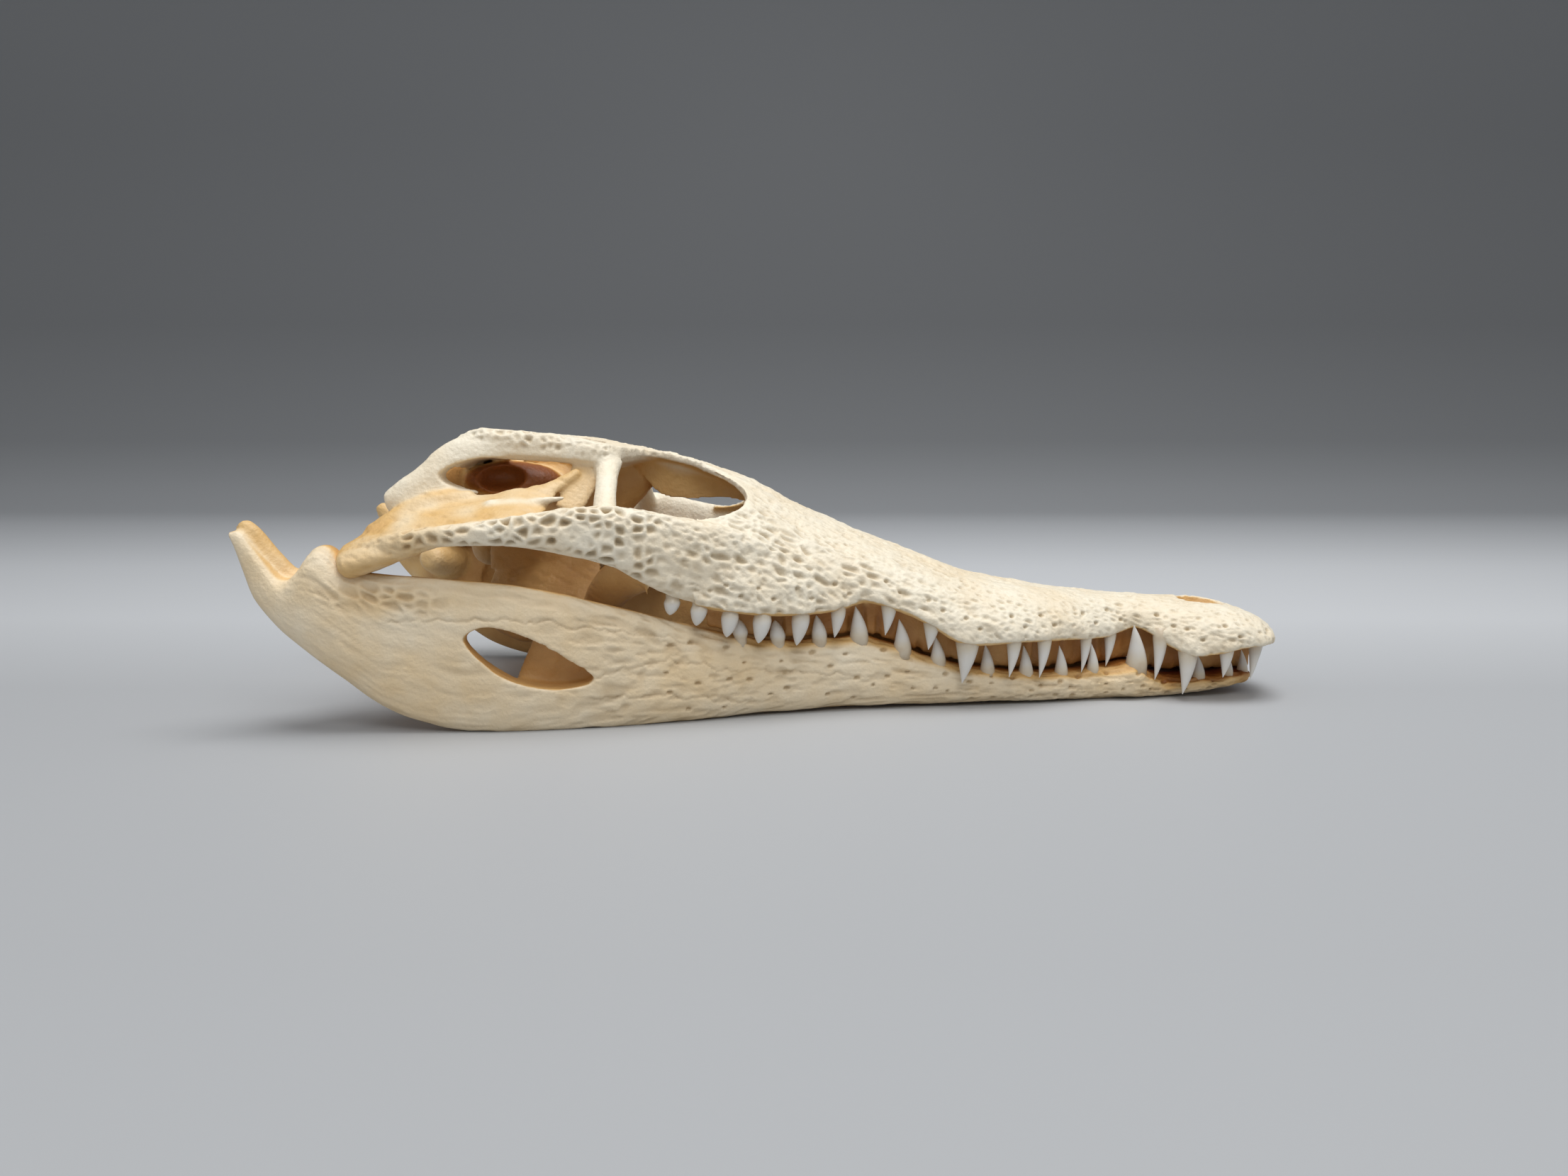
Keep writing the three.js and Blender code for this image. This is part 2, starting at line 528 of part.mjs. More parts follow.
function node(name, shape, finish = BONE) {
  const made = largest(shape).getMesh();
  const geometry = new THREE.BufferGeometry();
  geometry.setAttribute("position", new THREE.BufferAttribute(new Float32Array(made.vertProperties), 3));
  geometry.setIndex(new THREE.BufferAttribute(new Uint32Array(made.triVerts), 1));
  geometry.computeVertexNormals();
  const mesh = new THREE.Mesh(geometry, new THREE.MeshStandardMaterial(finish));
  mesh.name = name;
  root.add(mesh);
}

function pair(name, shape, finish) {
  node(`${name}_right`, shape, finish);
  node(`${name}_left`, mirrored(shape), finish);
}

// Cranium
const half = GAP / 2;
const upper = upperJaw();
const face = upper.intersect(slab(-FAR, FACE_X - half));
const between = box([-FAR, -FRONTAL_SPLIT_Y + half, -FAR], [FAR, FRONTAL_SPLIT_Y - half, FAR]);
const above = box([-FAR, -FAR, FACE_SPLIT_Z], [FAR, FAR, FAR]);
const rightFace = box([-FAR, -FAR, -FAR], [FAR, -FRONTAL_SPLIT_Y - half, FAR]);
const rightHalf = box([-FAR, -FAR, -FAR], [FAR, -half, FAR]);
const rightWing = box([-FAR, -FAR, -FAR], [FAR, -OCCIPUT_SPLIT_Y - GAP, FAR]);
const roof = skullTable(GAP).add(bothSides(squamosal(GAP)));
const backWall = braincase(GAP).add(exoccipital(GAP));

const premaxillaTeeth = joined(PREMAXILLA_TEETH.map((t, i) => upperTooth(t, PREMAXILLA_TOOTH_REACH[i])));
node("premaxilla", upper.intersect(slab(PREMAXILLA_X + half, FAR)).add(bothSides(premaxillaTeeth)));
const maxillaTeeth = joined(MAXILLA_TEETH.map((t) => upperTooth(t)));
node("maxilla", upper.intersect(slab(FACE_X + half, PREMAXILLA_X - half)).add(bothSides(maxillaTeeth)));
const hindMaxilla = face.intersect(rightFace).add(cheekBar()).intersect(slab(JUGAL_FRONT_X + half, FAR));
pair("hind_maxilla", hindMaxilla.add(joined(HIND_MAXILLA_TEETH.map((t) => upperTooth(t)))));
const jugal = cheekBar().intersect(slab(-FAR, JUGAL_FRONT_X - half)).add(upperTooth(LAST_TOOTH));
pair("jugal", jugal.subtract(quadrate(GAP)));
const frontal = frontalBar().intersect(slab(-FAR, FACE_X - half)).intersect(between);
node("frontal", frontal.add(face.intersect(between).intersect(above)));
node("skull_table", skullTable());
pair("squamosal", squamosal().subtract(skullTable(GAP)));
node("braincase", braincase().subtract(roof).subtract(frontalBar(GAP)), TAN_BONE);
pair("exoccipital", exoccipital().intersect(rightWing).subtract(braincase(GAP)).subtract(roof), TAN_BONE);
pair("quadrate", quadrate().subtract(backWall).subtract(roof), TAN_BONE);
pair("postorbital_bar", postorbitalBar().subtract(skullTable(GAP)).subtract(cheekBar(GAP)));
const palate = palatineBar().intersect(slab(-FAR, FACE_X - half)).intersect(between);
const facePalate = face.intersect(between).subtract(above.translate([0, 0, -GAP]));
node("palatine", palate.add(facePalate).subtract(bothSides(pterygoid(GAP))), TAN_BONE);
const rightPterygoid = pterygoid().intersect(rightHalf).subtract(braincase(GAP));
pair("pterygoid", rightPterygoid.subtract(quadrate(GAP)), TAN_BONE);
pair("ectopterygoid", ectopterygoid().subtract(pterygoid(GAP)).subtract(cheekBar(GAP)), TAN_BONE);

// Lower jaw
const jaw = jawHalf().subtract(quadrate(GAP)).subtract(cheekBar(GAP));
const dentaryTeeth = joined(DENTARY_TEETH.map((t) => lowerTooth(t)));
pair("dentary", jaw.intersect(slab(DENTARY_BACK_X + half, FAR)).add(dentaryTeeth).intersect(rightHalf));
pair("hind_jaw", jaw.intersect(slab(-FAR, DENTARY_BACK_X - half)));

export default root;
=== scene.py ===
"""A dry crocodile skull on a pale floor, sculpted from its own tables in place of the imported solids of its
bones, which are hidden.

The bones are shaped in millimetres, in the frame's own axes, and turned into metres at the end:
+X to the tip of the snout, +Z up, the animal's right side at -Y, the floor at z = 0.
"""

import math

import bpy
import numpy as np
from mathutils import Matrix, Vector, kdtree


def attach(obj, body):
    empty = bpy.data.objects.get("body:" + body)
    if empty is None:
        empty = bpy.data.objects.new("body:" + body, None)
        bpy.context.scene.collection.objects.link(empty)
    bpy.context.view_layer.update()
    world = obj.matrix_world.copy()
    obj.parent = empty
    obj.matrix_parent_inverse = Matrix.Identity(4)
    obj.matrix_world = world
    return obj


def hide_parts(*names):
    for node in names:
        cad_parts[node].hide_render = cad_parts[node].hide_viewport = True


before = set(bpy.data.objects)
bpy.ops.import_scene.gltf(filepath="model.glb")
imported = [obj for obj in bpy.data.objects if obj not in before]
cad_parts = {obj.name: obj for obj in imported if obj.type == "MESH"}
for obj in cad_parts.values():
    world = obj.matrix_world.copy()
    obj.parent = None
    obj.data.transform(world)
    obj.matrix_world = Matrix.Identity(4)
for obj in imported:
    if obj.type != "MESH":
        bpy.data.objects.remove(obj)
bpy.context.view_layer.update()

MM = 0.001
VOXEL = 0.5
# Painted shade in the pits: dents this deep are painted fully dark, shallower ones less.
FULL_PIT_SHADE_DEPTH = 1.1
RELAX_ROUNDS = 6
RELAX_PULL = 0.6
RELAX_PUSH = -0.58
CREASE_FILL = 0.8
CREASE_NORMALS_EVERY = 4
CRANIUM_CREASE_ROUNDS = 24
JAW_CREASE_ROUNDS = 20
SNOUT_TIP_X = 162.6
JAW_END_X = -162.6

# Upper jaw: [x, value] knots of its half width, tooth margin, ridge line and roundness
UPPER_HALF_WIDTH = [
    [-30, 51.6], [-16, 49.6], [0, 44.5], [20, 36.5], [32, 35], [56, 34.5], [75, 30.5], [95, 21.5],
    [107, 16], [113, 15.2], [119, 17.2], [130, 22.4], [142, 23.4], [152, 20.6], [158, 15.6], [161.5, 9],
    [SNOUT_TIP_X, 4],
]
UPPER_MARGIN = [
    [-38, 38.6], [-22, 35.1], [-10, 33.4], [2, 33], [13, 33.6], [22, 35.8], [32, 33], [42, 28.6],
    [50, 23.6], [56, 22], [71, 22.4], [86, 22.2], [101, 21.8], [108, 23.2], [113, 24.5],
    [118, 22.5], [124, 18.6], [130, 16.6], [138, 17.2], [147, 19], [SNOUT_TIP_X, 19],
]
SNOUT_TOP = [
    [-30, 77.6], [-16, 72.8], [-8, 68.8], [0, 64.3], [14, 58.4], [29, 52.1], [44, 46.6], [58, 41.4],
    [73, 38.1], [87, 35.9], [102, 34], [117, 33.2], [131, 32.3], [140, 31.6], [148, 30], [155, 27.2],
    [160, 23.8], [SNOUT_TIP_X, 20.4],
]
SNOUT_ROUNDNESS = [[-30, 0.85], [0, 0.9], [30, 0.95], [100, 0.88], [SNOUT_TIP_X, 0.8]]
SNOUT_SIDE_POWER = 0.9
PALATE = [[-0.95, -1.2], [-0.82, -0.6], [-0.66, 1.7], [0, 3], [0.66, 1.7], [0.82, -0.6], [0.95, -1.2]]
PALATE_FULL_DEPTH = 12
# The sheet inside the upper teeth, down to the lower jaw: painted shade of the inside of the mouth, coloured
# as its stained inner bone.
MOUTH_SHEET_GAP = 0.8
MOUTH_SHEET_ROOT = 5
MOUTH_SHEET_INSET = 0.3
MOUTH_SHEET_SHARE = 0.42
MOUTH_SHEET_LEAST_HALF = 2
MOUTH_SHEET_POWERS = (0.6, 0.6)
FACE_HOLLOW = [[-31, 1], [-20, 1], [-10, 0.96], [-3, 0.84], [2, 0.6]]
FACE_WALL = [[-31, 2.4], [-10, 4], [2, 8]]
NARIS = {"at": [139.5, 0, 33.5], "size": [9, 7.4, 9]}
ORBIT = {"at": [-37.5, -29.6, 71], "size": [22.8, 19.4, 14.6], "pitch": 8}
SUBORBITAL_FENESTRA = {"at": [-36, -25.5, 38], "size": [28, 12, 16]}

# Cheek bar under the eye: [x, outer half width], thickness, lower and upper edge
CHEEK_OUTER = [
    [-128, 61.5], [-115, 65.2], [-100, 65.5], [-80, 63.6], [-60, 60.2], [-45, 56.8], [-30, 52.4], [-8, 43.5],
]
CHEEK_THICKNESS = [
    [-128, 6], [-115, 7], [-100, 6.2], [-80, 6.6], [-60, 8], [-45, 9], [-28, 10], [-8, 8],
]
CHEEK_LOW = [
    [-128, 48.6], [-117, 50.6], [-104, 54.2], [-85, 54.8], [-73, 53.2], [-54, 48.3], [-46, 43.8],
    [-38, 39.4], [-28, 36.4], [-8, 37],
]
CHEEK_TOP = [
    [-128, 54.5], [-115, 58.5], [-100, 60.6], [-85, 62.4], [-73, 64.4], [-62, 65.9], [-53, 66],
    [-45, 64.7], [-34, 62.3], [-22, 59.6], [-8, 54],
]
CHEEK_POWERS = (0.8, 0.85)

# Roof between the eyes and the square table behind them
ROOF_HALF_WIDTH = [
    [-104, 36.8], [-95, 37], [-80, 36], [-66, 35.4], [-59, 34.4], [-55, 30], [-51, 20.5], [-46, 13.6],
    [-38, 11.4], [-30, 12.6], [-14, 15], [2, 12],
]
ROOF_EDGE = [
    [-104, 85], [-101, 87.2], [-96, 88.5], [-88, 88.2], [-72, 86.6], [-57, 83.7], [-50, 82.6], [-41, 81.2],
    [-28, 77.2], [-14, 71], [2, 60],
]
ROOF_DIP = [[-104, 0.8], [-70, 1.2], [-45, 2.2], [-25, 1.6], [2, 0]]
TABLE_THICKNESS = [[-104, 8.4], [-90, 9], [-72, 8.4], [-60, 7.2], [-52, 4.4], [-44, 2.4]]
FRONTAL_KEEL_LOW = [[-54, 78], [-49, 71.4], [-44, 67], [-36, 65.8], [-20, 65.6], [2, 58]]
FRONTAL_KEEL_HALF = 5.6
FRONTAL_RIM = 2.4
OLFACTORY_GROOVE = 3.4
UPPER_TEMPORAL_FENESTRA = {"at": [-79, -18.6, 84], "size": [12.4, 8.8, 14]}

# Bones drawn along a path: stops of [x, y, z, half width, half height, tilt in degrees], right side
SQUAMOSAL_PRONG = [
    [-88, -33, 83.4, 3.2, 4.6], [-100, -35.6, 77.6, 4, 8.6], [-109, -38.8, 71, 4.2, 8],
    [-117, -41.4, 67.8, 3.8, 5.6], [-121.4, -42.4, 66.6, 2.8, 3.8],
]
QUADRATE = [
    [-67, -35, 75, 1.5, 1.4, 30], [-75, -40, 69.8, 3.4, 1.6, 28], [-84, -48.3, 65.2, 11, 2.2, 21],
    [-96, -50, 62.6, 13.5, 3, 21], [-110, -51.5, 59, 14, 4.2, 22], [-122, -53.5, 53.6, 12.6, 5.2, 14],
    [-129, -54, 50, 12, 5.2, 8],
]
QUADRATE_CREST = [
    [-98, -42, 67.4, 3, 2.6], [-108, -43, 66, 4, 3.6], [-117, -45.5, 61.6, 5, 4], [-124, -49, 56.6, 6, 4],
]
QUADRATE_SPIKE = [
    [-90, -48.8, 65.8, 3, 1.8], [-82, -48, 65.8, 2.1, 1.4], [-75, -47.4, 67, 1.4, 1.1],
    [-69, -47, 67.8, 0.7, 0.6],
]
INNER_WALL = [[-63.5, -30, 78, 5, 1.4], [-66, -35.5, 71, 4.6, 1.2], [-69, -40.5, 64, 4, 1.2]]
EAR_OPENING = [
    [-107.5, 74], [-103.5, 77.6], [-96, 79.6], [-86, 79.8], [-76, 79], [-68, 77.4], [-77, 73.4],
    [-86, 70.4], [-95, 69.2], [-103, 70.8],
]
EAR_OPENING_Y = [-64, -25]
QUADRATE_ROOT = [[-101, -44, 61, 11, 3.6], [-95, -30, 60.5, 13, 5.4], [-89, -12, 61, 14, 7]]
BRAINCASE = [
    [-51, 0, 74.5, 4.6, 6], [-58, 0, 71.5, 8, 9.5], [-67, 0, 68, 12, 13], [-80, 0, 66.5, 15, 14.5],
    [-95, 0, 65, 17, 16], [-105, 0, 62.5, 14, 14],
]
OCCIPUT = [
    [-114, -38, 69.6, 2.4, 3.8], [-110, -28, 70, 4, 9], [-105, -10, 70, 5, 13.5], [-104, 0, 70, 5.5, 15],
    [-105, 10, 70, 5, 13.5], [-110, 28, 70, 4, 9], [-114, 38, 69.6, 2.4, 3.8],
]
EAR_CAPSULE = {"at": [-91, -18, 71], "size": [17, 12, 7.6]}
EAR_HOLE = {"at": [-92, -30, 73.6], "size": [8, 9, 4.6]}
OCCIPITAL_CONDYLE = {"at": [-113, 0, 61], "size": [6, 5.6, 5]}
BASAL_TUBER = {"at": [-103, 0, 49.5], "size": [6.5, 9, 6.5]}
FORAMEN_MAGNUM = {"at": [-112, 0, 71.8], "size": [17, 5.8, 5]}
PTERYGOID_WING = [
    [-83, 6, 50.5, 13, 6], [-83, -5, 50, 13.6, 5.4], [-82, -14, 48.6, 16, 3.4], [-80, -25, 41, 18.6, 2.4],
    [-78, -33, 31, 17.4, 2.6], [-77, -36.6, 26, 11, 3],
]
PTERYGOID_LAMINA = [[-85, -13, 62, 14.5, 2], [-83, -16, 54, 16.5, 2.1], [-82, -19, 46, 17, 2.2]]
ECTOPTERYGOID = [
    [-62, -37, 31, 2.6, 5], [-56, -41.5, 40, 2.8, 6.5], [-47, -45.4, 46, 2.8, 8], [-37, -43.4, 46, 2.6, 6],
]
POSTORBITAL_BAR = [
    [-56, -53, 60, 2.9, 4], [-56.8, -46, 66.5, 2.5, 3.3], [-57.6, -36, 74, 2.7, 3.4],
    [-58.2, -30, 78, 3.2, 4.4],
]
PALATINE = [
    [8, 0, 37.5, 13, 3.2], [-30, 0, 38.5, 10.6, 3.2], [-52, 0, 42.5, 11, 3.4], [-68, 0, 47.5, 13, 3.6],
]

# Lower jaw, right half
JAW_MIDDLE = [
    [JAW_END_X, -57.6], [-150, -58.6], [-138, -57], [-110, -57.4], [-90, -57], [-70, -54.4], [-50, -49.6],
    [-30, -43.2], [-10, -36], [10, -30.4], [28, -26.6], [50, -23], [70, -19.4], [90, -14.6], [102, -11],
    [112, -9.2], [125, -6.6], [140, -5.4], [150, -3.4], [156.5, -1.6],
]
JAW_HALF_THICKNESS = [
    [JAW_END_X, 2.2], [-150, 4.2], [-139, 8.6], [-125, 7], [-110, 5.6], [-70, 5.6], [-50, 6], [-10, 6.4],
    [28, 6.5], [50, 6.6], [70, 6.8], [90, 7.4], [102, 8.2], [112, 10.2], [125, 8.8], [140, 8.6],
    [150, 6.6], [156.5, 2],
]
JAW_LOW = [
    [JAW_END_X, 57], [-160, 50.3], [-155.6, 38.5], [-143.4, 25.6], [-131.5, 15.3], [-119.4, 6.8],
    [-105, 1.6], [-90, -0.3], [-65, -0.4], [-40, -0.3], [-7, 0.5], [27, 0.8], [56, 0.8], [92, 0.1],
    [110, -0.3], [128, -0.1], [146, 2.4], [153, 4], [156.5, 5.5],
]
JAW_TOP = [
    [JAW_END_X, 58.6], [-159.3, 58.8], [-153, 50.4], [-147.4, 44.8], [-142.4, 48.6], [-139.4, 53],
    [-136.4, 54.9], [-133.4, 53.6], [-131, 50], [-127, 47.4], [-121.5, 46.5], [-101.5, 44.9],
    [-77.8, 42.2], [-54.5, 36.2], [-34.4, 30], [-10, 23.4], [13, 23], [21, 23.4], [29, 21.2], [40, 17],
    [49, 14.2], [68, 10.8], [87, 9.8], [105, 10.8], [112, 11.6], [121, 7.8], [135, 7], [150, 7.4],
    [156.5, 6.6],
]
JAW_POWERS = (0.78, 0.78)
ARTICULAR = [[-133, -56, 40, 8, 7], [-134.5, -49, 40, 8, 7], [-137, -42, 41, 5.6, 5.2]]
RETROARTICULAR_RIDGE = [
    [-141, -51, 44.6, 4, 3.6], [-147.5, -52.6, 44.4, 3.4, 3.2], [-153, -53.6, 50, 3.1, 3.2],
    [-158, -54.4, 57, 3, 3.2], [-160, -54.6, 59.6, 2.6, 2.6],
]
JAW_WINDOW = [
    [-96.6, 27.4], [-93.4, 30.6], [-87.5, 31], [-78, 28], [-68, 22], [-59.8, 15.6], [-66, 13],
    [-75, 13.1], [-84, 15.6], [-91.5, 21],
]
JAW_WINDOW_FLOOR_Y = -51.6
JAW_WINDOW_TURN = 6
JAW_WINDOW_Y = [-40, 0]
JAW_THROUGH = [[-75, 27], [-73, 31], [-75, 36], [-100, 36], [-106, 28], [-100, 16], [-84, 12.4]]
JAW_STRUT = [[-80, -50.2, 10.5, 4.6, 1.4], [-75.6, -49.8, 20, 5, 1.4], [-70.5, -49.4, 31, 5, 1.4]]
JAW_THROUGH_Y = [-54, -40]
JAW_TROUGH = [
    [-84, -48.6, 23.6, 5.8, 11], [-96, -50.6, 29, 6.2, 15], [-110, -50.8, 33, 5, 12],
    [-118, -50.6, 36, 3.4, 7],
]

# Teeth, right side: [x, crown length, root radius] from the tip of the snout backwards
PREMAXILLA_TEETH = [
    [157, 10.5, 1.9], [152.6, 12.5, 2.1], [141, 9.5, 2.3], [129, 14.2, 3.1], [120.6, 14, 2.3],
]
PREMAXILLA_TOOTH_REACH = [0.4, 0.72, 0.86, 0.85, 0.9]
MAXILLA_TEETH = [
    [104.5, 11.4, 2], [95.3, 12, 1.9], [80.1, 12.8, 2.3], [69.6, 12, 2.4], [54.6, 13.4, 3.7],
    [43, 8.4, 2.6], [29.5, 9.6, 2.5], [13.4, 9.4, 2.4], [1.7, 10.4, 2.9], [-10, 9.4, 2.9],
    [-19.6, 8.4, 2.7], [-28.8, 6.6, 2.6], [-36.8, 5.2, 2.5],
]
DENTARY_TEETH = [
    [153, 7.5, 1.8], [146, 7.5, 1.8], [135.5, 7, 2], [113.4, 13.6, 3.4], [98.4, 8.8, 1.9], [87.3, 9, 2.1],
    [75.2, 9, 2.3], [62.2, 8.4, 2.3], [45.8, 8, 2.5], [34.2, 9.6, 2.8], [20.2, 9.8, 2.9], [7.6, 8, 2.5],
    [-5.4, 7, 2.5], [-16.8, 6.2, 2.4],
]
UPPER_TOOTH_INSET = 0.5
LOWER_TOOTH_INSET = 0.7
TOOTH_ROOT = 3.2
TOOTH_OUTWARD_LEAN = 0.12
TOOTH_BACKWARD_BEND = 0.13
TOOTH_ROOT_TINT = 0.5
TOOTH_SIDES = 20
TOOTH_SHARES = np.concatenate([[-1], np.linspace(0, 0.96, 14), [0.99, 1]])


# Numbers

def curve(ts, values):
    """A smooth curve through values (numbers or rows) at ts, level beyond its ends."""
    ts = np.array(ts, float)
    values = np.array(values, float)
    last = len(ts) - 1
    before = np.maximum(np.arange(last + 1) - 1, 0)
    after = np.minimum(np.arange(last + 1) + 1, last)
    rows = values.reshape(last + 1, -1)
    slope = (rows[after] - rows[before]) / (ts[after] - ts[before])[:, None]

    def at(t):
        t = np.clip(np.asarray(t, float), ts[0], ts[-1])
        flat = t.ravel()
        i = np.clip(np.searchsorted(ts, flat, side="right") - 1, 0, last - 1)
        span = (ts[i + 1] - ts[i])[:, None]
        u = (flat - ts[i])[:, None] / span
        rise = u * u * (3 - 2 * u)
        enter = u * (1 - u) ** 2 * span * slope[i]
        leave = u * u * (u - 1) * span * slope[i + 1]
        found = rows[i] * (1 - rise) + rows[i + 1] * rise + enter + leave
        return found.reshape(t.shape + values.shape[1:])

    return at


def profile(knots):
    knots = np.array(knots, float)
    return curve(knots[:, 0], knots[:, 1])


upper_half_width = profile(UPPER_HALF_WIDTH)
upper_margin = profile(UPPER_MARGIN)
snout_top = profile(SNOUT_TOP)
snout_roundness = profile(SNOUT_ROUNDNESS)
palate_height = profile(PALATE)
cheek_outer = profile(CHEEK_OUTER)
cheek_thickness = profile(CHEEK_THICKNESS)
cheek_low = profile(CHEEK_LOW)
cheek_top = profile(CHEEK_TOP)
roof_half_width = profile(ROOF_HALF_WIDTH)
roof_edge = profile(ROOF_EDGE)
roof_dip = profile(ROOF_DIP)
table_thickness = profile(TABLE_THICKNESS)
frontal_keel_low = profile(FRONTAL_KEEL_LOW)
jaw_middle = profile(JAW_MIDDLE)
jaw_half_thickness = profile(JAW_HALF_THICKNESS)
jaw_low = profile(JAW_LOW)
jaw_top = profile(JAW_TOP)


def signed_power(value, power):
    return np.sign(value) * np.abs(value) ** power


def smoothstep(low, high, value):
    t = np.clip((value - low) / (high - low), 0, 1)
    return t * t * (3 - 2 * t)


def turn(count):
    return np.linspace(0, 2 * math.pi, count, endpoint=False)


# Seeded noise over points

def hashed(cell, seed):
    """A number from 0 to 1 for each whole-number cell."""
    h = (cell[:, 0] * 73856093) ^ (cell[:, 1] * 19349663) ^ (cell[:, 2] * 83492791) ^ (seed * 40503)
    h &= 0xFFFFFFFF
    for shift in (15, 13):
        h = ((h ^ (h >> shift)) * 0x2C1B3C6D) & 0xFFFFFFFF
    return (h ^ (h >> 16)) / 0xFFFFFFFF


def noise(points, size, seed):
    """Smooth noise from -1 to 1 with features of about that size, one number or one for each axis."""
    q = points / np.asarray(size, float)
    low = np.floor(q).astype(np.int64)
    u = q - low
    u = u * u * (3 - 2 * u)
    total = np.zeros(len(points))
    for corner in range(8):
        step = np.array([corner & 1, corner >> 1 & 1, corner >> 2 & 1])
        weight = np.prod(np.where(step, u, 1 - u), axis=1)
        total += weight * hashed(low + step, seed)
    return 2 * total - 1


def cells(points, size, seed):
    """Distances to the two nearest of scattered centres, in cell sizes, and the nearest one's number."""
    q = points / np.asarray(size, float)
    low = np.floor(q).astype(np.int64)
    first = np.full(len(q), 9.0)
    second = np.full(len(q), 9.0)
    number = np.zeros(len(q))
    for step in np.ndindex(3, 3, 3):
        cell = low + np.array(step) - 1
        centre = cell + np.stack([0.15 + 0.7 * hashed(cell, seed + k) for k in (1, 2, 3)], axis=1)
        distance = np.sqrt(((centre - q) ** 2).sum(1))
        nearer = distance < first
        second = np.where(nearer, first, np.minimum(second, distance))
        number = np.where(nearer, hashed(cell, seed + 4), number)
        first = np.where(nearer, distance, first)
    return first, second, number


# Raw solids in millimetres, as (points, faces)

def outward(points, faces):
    """The same solid with its faces turned outwards."""
    volume = 0.0
    for face in faces:
        a = points[face[0]]
        for b, c in zip(face[1:-1], face[2:]):
            volume += np.dot(a, np.cross(points[b], points[c]))
    if volume < 0:
        faces = [face[::-1] for face in faces]
    return points, faces


def loft(rings):
    """A closed solid through rings of points."""
    rings = np.array(rings, float)
    count, sides = rings.shape[:2]
    start = np.arange(count - 1)[:, None] * sides
    here = start + np.arange(sides)
    there = start + (np.arange(sides) + 1) % sides
    quads = np.stack([here, there, there + sides, here + sides], axis=-1).reshape(-1, 4)
    faces = quads.tolist()
    faces.append(list(range(sides))[::-1])
    faces.append(list(range((count - 1) * sides, count * sides)))
    return outward(rings.reshape(-1, 3), faces)


def limb(stops, up=(0, 0, 1), sides=40, step=1.2):
    """A bone of oval section with rounded ends, along a smooth path of stops."""
    stops = np.array([list(s) + [0] * (6 - len(s)) for s in stops], float)
    path = curve(np.arange(len(stops)), stops)
    length = np.linalg.norm(np.diff(stops[:, :3], axis=0), axis=1).sum()
    ts = np.linspace(0, len(stops) - 1, max(6, int(length / step)))
    angles = turn(sides)
    small = 1e-3

    def ring(t, shrink=1.0, shift=0.0):
        x, y, z, width, height, tilt = path(t)
        along = path(min(t + small, ts[-1]))[:3] - path(max(t - small, 0))[:3]
        along /= np.linalg.norm(along)
        side = np.cross(along, up)
        side /= np.linalg.norm(side)
        top = np.cross(side, along)
        lean = math.radians(tilt)
        across = side * math.cos(lean) + top * math.sin(lean)
        over = top * math.cos(lean) - side * math.sin(lean)
        middle = np.array([x, y, z]) + along * shift * min(width, height)
        return (
            middle
            + np.outer(np.cos(angles) * width * shrink, across)
            + np.outer(np.sin(angles) * height * shrink, over)
        )

    rounding = [(0.3, 0.68), (0.6, 0.6), (0.85, 0.36)]
    rings = [ring(0.0, shrink, -shift) for shrink, shift in rounding]
    rings += [ring(t) for t in ts]
    rings += [ring(ts[-1], shrink, shift) for shrink, shift in reversed(rounding)]
    return loft(rings)


def oval(at, size, pitch=0):
    """An oval ball, turned about Y by pitch degrees."""
    heights = np.linspace(-0.998, 0.998, 40)
    widths = np.sqrt(1 - heights**2)
    angles = turn(48)
    rings = [
        np.stack([w * np.cos(angles), w * np.sin(angles), np.full(48, h)], axis=1)
        for h, w in zip(heights, widths)
    ]
    points, faces = loft(rings)
    tilt = np.array(Matrix.Rotation(math.radians(pitch), 3, "Y"))
    return (points * size) @ tilt.T + at, faces


def post(at, size):
    """An upright oval post."""
    angles = turn(48)
    flat = np.stack([np.cos(angles), np.sin(angles), np.zeros(48)], axis=1)
    points, faces = loft([flat - [0, 0, 1], flat + [0, 0, 1]])
    return points * size + at, faces


def mirrored(solid):
    points, faces = solid
    return points * [1, -1, 1], [face[::-1] for face in faces]


def densified(corners, spacing):
    """A closed ring of corners with points between them."""
    ring = []
    for a, b in zip(corners, corners[1:] + corners[:1]):
        a, b = np.array(a, float), np.array(b, float)
        ring += [a + (b - a) * k / spacing for k in range(spacing)]
    return ring


def joined(solids):
    """Several solids as one."""
    points = []
    faces = []
    start = 0
    for p, f in solids:
        points.append(p)
        faces += [[start + i for i in face] for face in f]
        start += len(p)
    return np.concatenate(points), faces


def section(x, y, z):
    """A ring of points across the skull at x."""
    return np.stack([np.full(len(y), x), y, z], axis=1)


def rounded_section(x, middle, half, low, high, powers, sides):
    """A ring from low to high and half to each side of the middle, squarer with smaller powers."""
    a = turn(sides)
    y = middle + half * signed_power(np.cos(a), powers[0])
    z = (low + high) / 2 + (high - low) / 2 * signed_power(np.sin(a), powers[1])
    return section(x, y, z)


def closed_curve(knots, count):
    """Points around a smooth closed outline through knots."""
    around = np.array(knots + knots[:3], float)
    ts = np.linspace(1, len(knots) + 1, count, endpoint=False)
    return curve(np.arange(len(around)), around)(ts)


def block(outline, depths):
    """A block with an [x, z] outline, between two depths along y."""
    return loft([np.column_stack([outline[:, 0], np.full(len(outline), y), outline[:, 1]]) for y in depths])


# Bones

